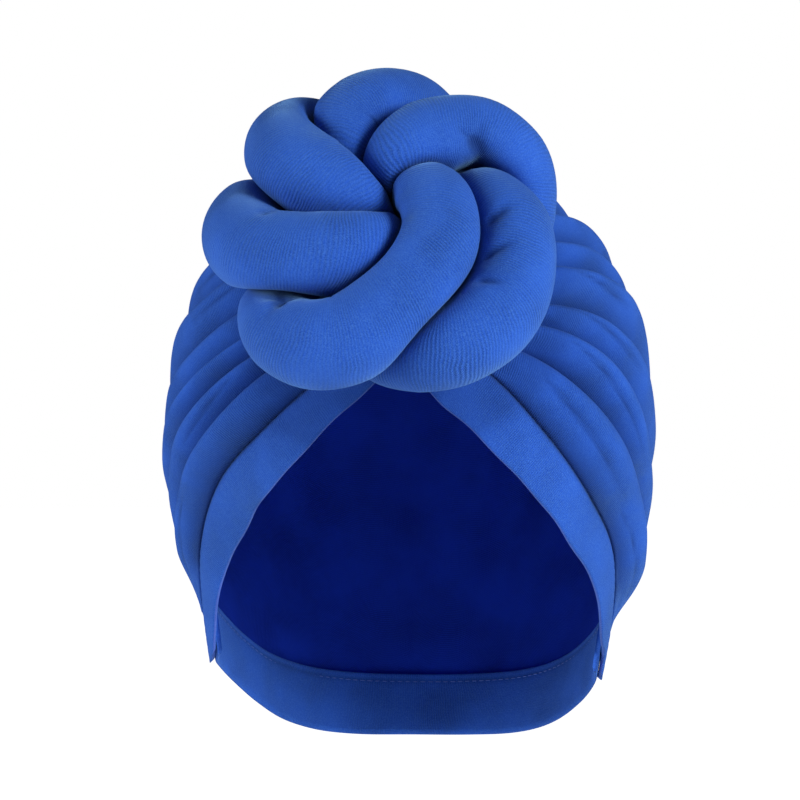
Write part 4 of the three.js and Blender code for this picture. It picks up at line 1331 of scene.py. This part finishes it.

# %% [markdown]
# Stitches.
# A sewing machine puts the same short stitch every few millimetres along a line. That is a rule,
# so Geometry Nodes repeat it: a curve is resampled at the stitch pitch and a small stretched bead
# of thread is set on every point, turned along the line. The result is made real, because a
# stitch is a thing and not a picture of one.

# %% The stitching tree


def stitch_tree():
    tree = bpy.data.node_groups.new("stitch_row", "GeometryNodeTree")
    socket(tree, "Geometry", "NodeSocketGeometry")
    socket(tree, "Stitch Pitch", "NodeSocketFloat", value=3.2 * MM)
    socket(tree, "Stitch Length", "NodeSocketFloat", value=2.3 * MM)
    socket(tree, "Thread Width", "NodeSocketFloat", value=0.45 * MM)
    socket(tree, "Unevenness", "NodeSocketFloat", value=0.12)
    socket(tree, "Thread", "NodeSocketMaterial")
    socket(tree, "Geometry", "NodeSocketGeometry", "OUTPUT")
    n = Nodes(tree)
    source = n.add("NodeGroupInput").outputs
    line = n.add("GeometryNodeMeshToCurve", {"Mesh": source["Geometry"]}).outputs[0]
    even = n.add("GeometryNodeResampleCurve", {"Curve": line}, mode="LENGTH")
    n.feed(even.inputs["Length"], source["Stitch Pitch"])
    tangent = n.add("GeometryNodeInputTangent").outputs[0]
    turned = n.add("FunctionNodeAlignRotationToVector", {"Vector": tangent}, axis="X").outputs[0]
    bead = n.add("GeometryNodeMeshUVSphere", {"Segments": 8, "Rings": 6, "Radius": 0.5}).outputs[0]
    shape = n.add("ShaderNodeCombineXYZ", {0: source["Stitch Length"], 1: source["Thread Width"]})
    n.feed(shape.inputs[2], source["Thread Width"])
    loose = n.math("ADD", 1.0, source["Unevenness"])
    tight = n.math("SUBTRACT", 1.0, source["Unevenness"])
    luck = n.add("FunctionNodeRandomValue", {2: tight, 3: loose, "Seed": 4}).outputs[1]
    scaled = n.add("ShaderNodeVectorMath", {0: shape.outputs[0], 3: luck}, operation="SCALE")
    placed = n.add(
        "GeometryNodeInstanceOnPoints",
        {
            "Points": even.outputs[0],
            "Instance": bead,
            "Rotation": turned,
            "Scale": scaled.outputs[0],
        },
    ).outputs[0]
    real = n.add("GeometryNodeRealizeInstances", {0: placed}).outputs[0]
    smoothed = n.add("GeometryNodeSetShadeSmooth", {0: real}).outputs[0]
    threaded = n.add("GeometryNodeSetMaterial", {0: smoothed, "Material": source["Thread"]})
    n.feed(n.add("NodeGroupOutput").inputs[0], threaded.outputs[0])
    return tree


STITCH_ROW = stitch_tree()


def stitch_row(name, line, material, sizes):
    """Real stitches along a line of points, as one mesh."""
    placed = np.array(line)
    placed[:, 2] -= HEAD_TOP
    guide = bpy.data.meshes.new(name + "_line")
    guide.from_pydata(placed.tolist(), [(k, k + 1) for k in range(len(placed) - 1)], [])
    holder = bpy.data.objects.new(name + "_line", guide)
    bpy.context.scene.collection.objects.link(holder)
    modifier = holder.modifiers.new("stitches", "NODES")
    modifier.node_group = STITCH_ROW
    values = {**sizes, "Thread": material}
    for item in STITCH_ROW.interface.items_tree:
        if item.in_out == "INPUT" and item.name in values:
            modifier[item.identifier] = values[item.name]
    graph = bpy.context.evaluated_depsgraph_get()
    mesh = bpy.data.meshes.new_from_object(holder.evaluated_get(graph))
    mesh.name = name
    bpy.data.objects.remove(holder)
    piece = bpy.data.objects.new(name, mesh)
    bpy.context.scene.collection.objects.link(piece)
    return piece


print("node group", STITCH_ROW.name, len(STITCH_ROW.nodes), "nodes")

# %% [markdown]
# The thread.
# Sewing thread is two plies twisted together, which shows as fine slanting bands of light and
# dark. A wave pattern with a little distortion draws them, in the jersey's own blue. The line
# of stitches follows the inner face of the nape band, in the groove that they pull into it.

# %% Sew the nape band
STITCH_SINK = 0.12 * MM


def thread_material():
    material = bpy.data.materials.new("sewing_thread")
    material.use_nodes = True
    n = Nodes(material.node_tree)
    skin = material.node_tree.nodes["Principled BSDF"]
    place = n.add("ShaderNodeTexCoord").outputs["Object"]
    wave = n.add("ShaderNodeTexWave", {"Vector": place, "Scale": 900.0, "Distortion": 1.5})
    ply = wave.outputs[1]
    tint = n.blend(ply, (0.03, 0.10, 0.46, 1), (0.07, 0.19, 0.66, 1))
    n.feed(skin.inputs["Base Color"], tint)
    relief = n.add("ShaderNodeBump", {"Height": ply, "Strength": 0.4, "Distance": 0.05 * MM})
    n.feed(skin.inputs["Normal"], relief.outputs[0])
    skin.inputs["Roughness"].default_value = 0.6
    skin.inputs["Sheen Weight"].default_value = 0.2
    return material


THREAD = thread_material()
inner_face = -PIECE_GAP - NAPE_BAND_WALL + STITCH_SINK
stitch_turns = np.linspace(first_turn + 1, last_turn - 1, 400)
inner_line = nape_line(STITCH_INSET, inner_face, stitch_turns)
inner_stitches = stitch_row("nape_stitches", inner_line, THREAD, {"Stitch Pitch": 3.2 * MM})
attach(inner_stitches, "root")
print("stitches", len(inner_stitches.data.polygons), "faces")

# %% [markdown]
# The cloths' cut.
# A sheet's flat size is what the maker cut. The crown starts as one cloth that goes over the
# whole head, and its folds take up length across, so its cut is larger than the head it covers.
# A band's cut is its mean width by its length. Here only the nape band's length is printed.

print("nape band", round(nape_length, 3), "m long")

# %% [markdown]
# Camera.
# It stands where the photograph's did: level with the lower part of the knot, a little over a
# metre away, with a long lens and turned by about one degree. The lens is worked out from how
# many pixels an object as long as its distance would fill.

# %% Camera
CAMERA_DISTANCE = 1.3
CAMERA_YAW = math.radians(1.3)
CAMERA_TARGET = np.array([-3.5 * MM, 0, 16 * MM - HEAD_TOP])
PIXELS_PER_DISTANCE = 3291.1
FRAME_PIXELS = 800
SENSOR = 36

camera_data = bpy.data.cameras.new("camera")
camera_data.sensor_width = SENSOR
camera_data.lens = PIXELS_PER_DISTANCE / FRAME_PIXELS * SENSOR
camera = bpy.data.objects.new("camera", camera_data)
back = np.array([math.sin(CAMERA_YAW), -math.cos(CAMERA_YAW), 0])
camera.location = CAMERA_TARGET + CAMERA_DISTANCE * back
camera.rotation_euler = (math.pi / 2, 0, CAMERA_YAW)
bpy.context.scene.collection.objects.link(camera)
bpy.context.scene.camera = camera
print("lens", round(camera_data.lens, 1), "mm")

# %% [markdown]
# Floor and light.
# A pale floor lies under the wrap, and the world behind it is as white as paper, so the view is
# open from every side. Large soft lamps light the wrap from both sides, as in a product studio, and
# the right one is the stronger. Floor and world show the camera more light than they give the
# cloth: real paper that bright would wash the folds out and put a pale rim on the rolls. The
# Light Path node tells the two apart.

# %% Floor
FLOOR_DROP = 0.30
FLOOR_HALF = 12.0
PAPER_GLOW = 0.15
WORLD_LIGHT = 0.09


def glow_for(n, given):
    """A strength of 1 where the camera looks at a surface, and less where it lights others."""
    seen = n.add("ShaderNodeLightPath").outputs["Is Camera Ray"]
    return n.spread(seen, 0.0, 1.0, given, 1.0)


def studio_floor():
    level = float(cad_low[2]) - FLOOR_DROP
    corners = [(-1, -1), (1, -1), (1, 1), (-1, 1)]
    points = [(x * FLOOR_HALF, y * FLOOR_HALF, level) for x, y in corners]
    mesh = bpy.data.meshes.new("studio_floor")
    mesh.from_pydata(points, [], [(0, 1, 2, 3)])
    piece = bpy.data.objects.new("studio_floor", mesh)
    bpy.context.scene.collection.objects.link(piece)
    paper = bpy.data.materials.new("studio_paper")
    paper.use_nodes = True
    skin = paper.node_tree.nodes["Principled BSDF"]
    skin.inputs["Base Color"].default_value = (0.93, 0.93, 0.93, 1)
    skin.inputs["Roughness"].default_value = 0.95
    skin.inputs["Emission Color"].default_value = (1, 1, 1, 1)
    n = Nodes(paper.node_tree)
    n.feed(skin.inputs["Emission Strength"], glow_for(n, PAPER_GLOW))
    mesh.materials.append(paper)
    return piece


studio_floor()

# %% Lamps
LAMPS = [
    {"name": "key_right", "at": (1.02, -0.90, 0.32), "size": 0.5, "power": 16.5},
    {"name": "fill_left", "at": (-1.24, -0.52, 0.14), "size": 0.5, "power": 10.0},
]
LAMP_AIM = np.array([0, 0, -0.09])

for row in LAMPS:
    light = bpy.data.lights.new(row["name"], "AREA")
    light.size = row["size"]
    light.energy = row["power"]
    lamp = bpy.data.objects.new(row["name"], light)
    lamp.location = row["at"]
    toward = LAMP_AIM - np.array(row["at"])
    lamp.rotation_euler = Vector(toward).to_track_quat("-Z", "Y").to_euler()
    bpy.context.scene.collection.objects.link(lamp)

world = bpy.data.worlds.new("studio")
bpy.context.scene.world = world
world.use_nodes = True
background = world.node_tree.nodes["Background"]
background.inputs["Color"].default_value = (1, 1, 1, 1)
world_nodes = Nodes(world.node_tree)
world_nodes.feed(background.inputs["Strength"], glow_for(world_nodes, WORLD_LIGHT))
bpy.context.scene.view_settings.view_transform = "Standard"
print("lamps", len(LAMPS))
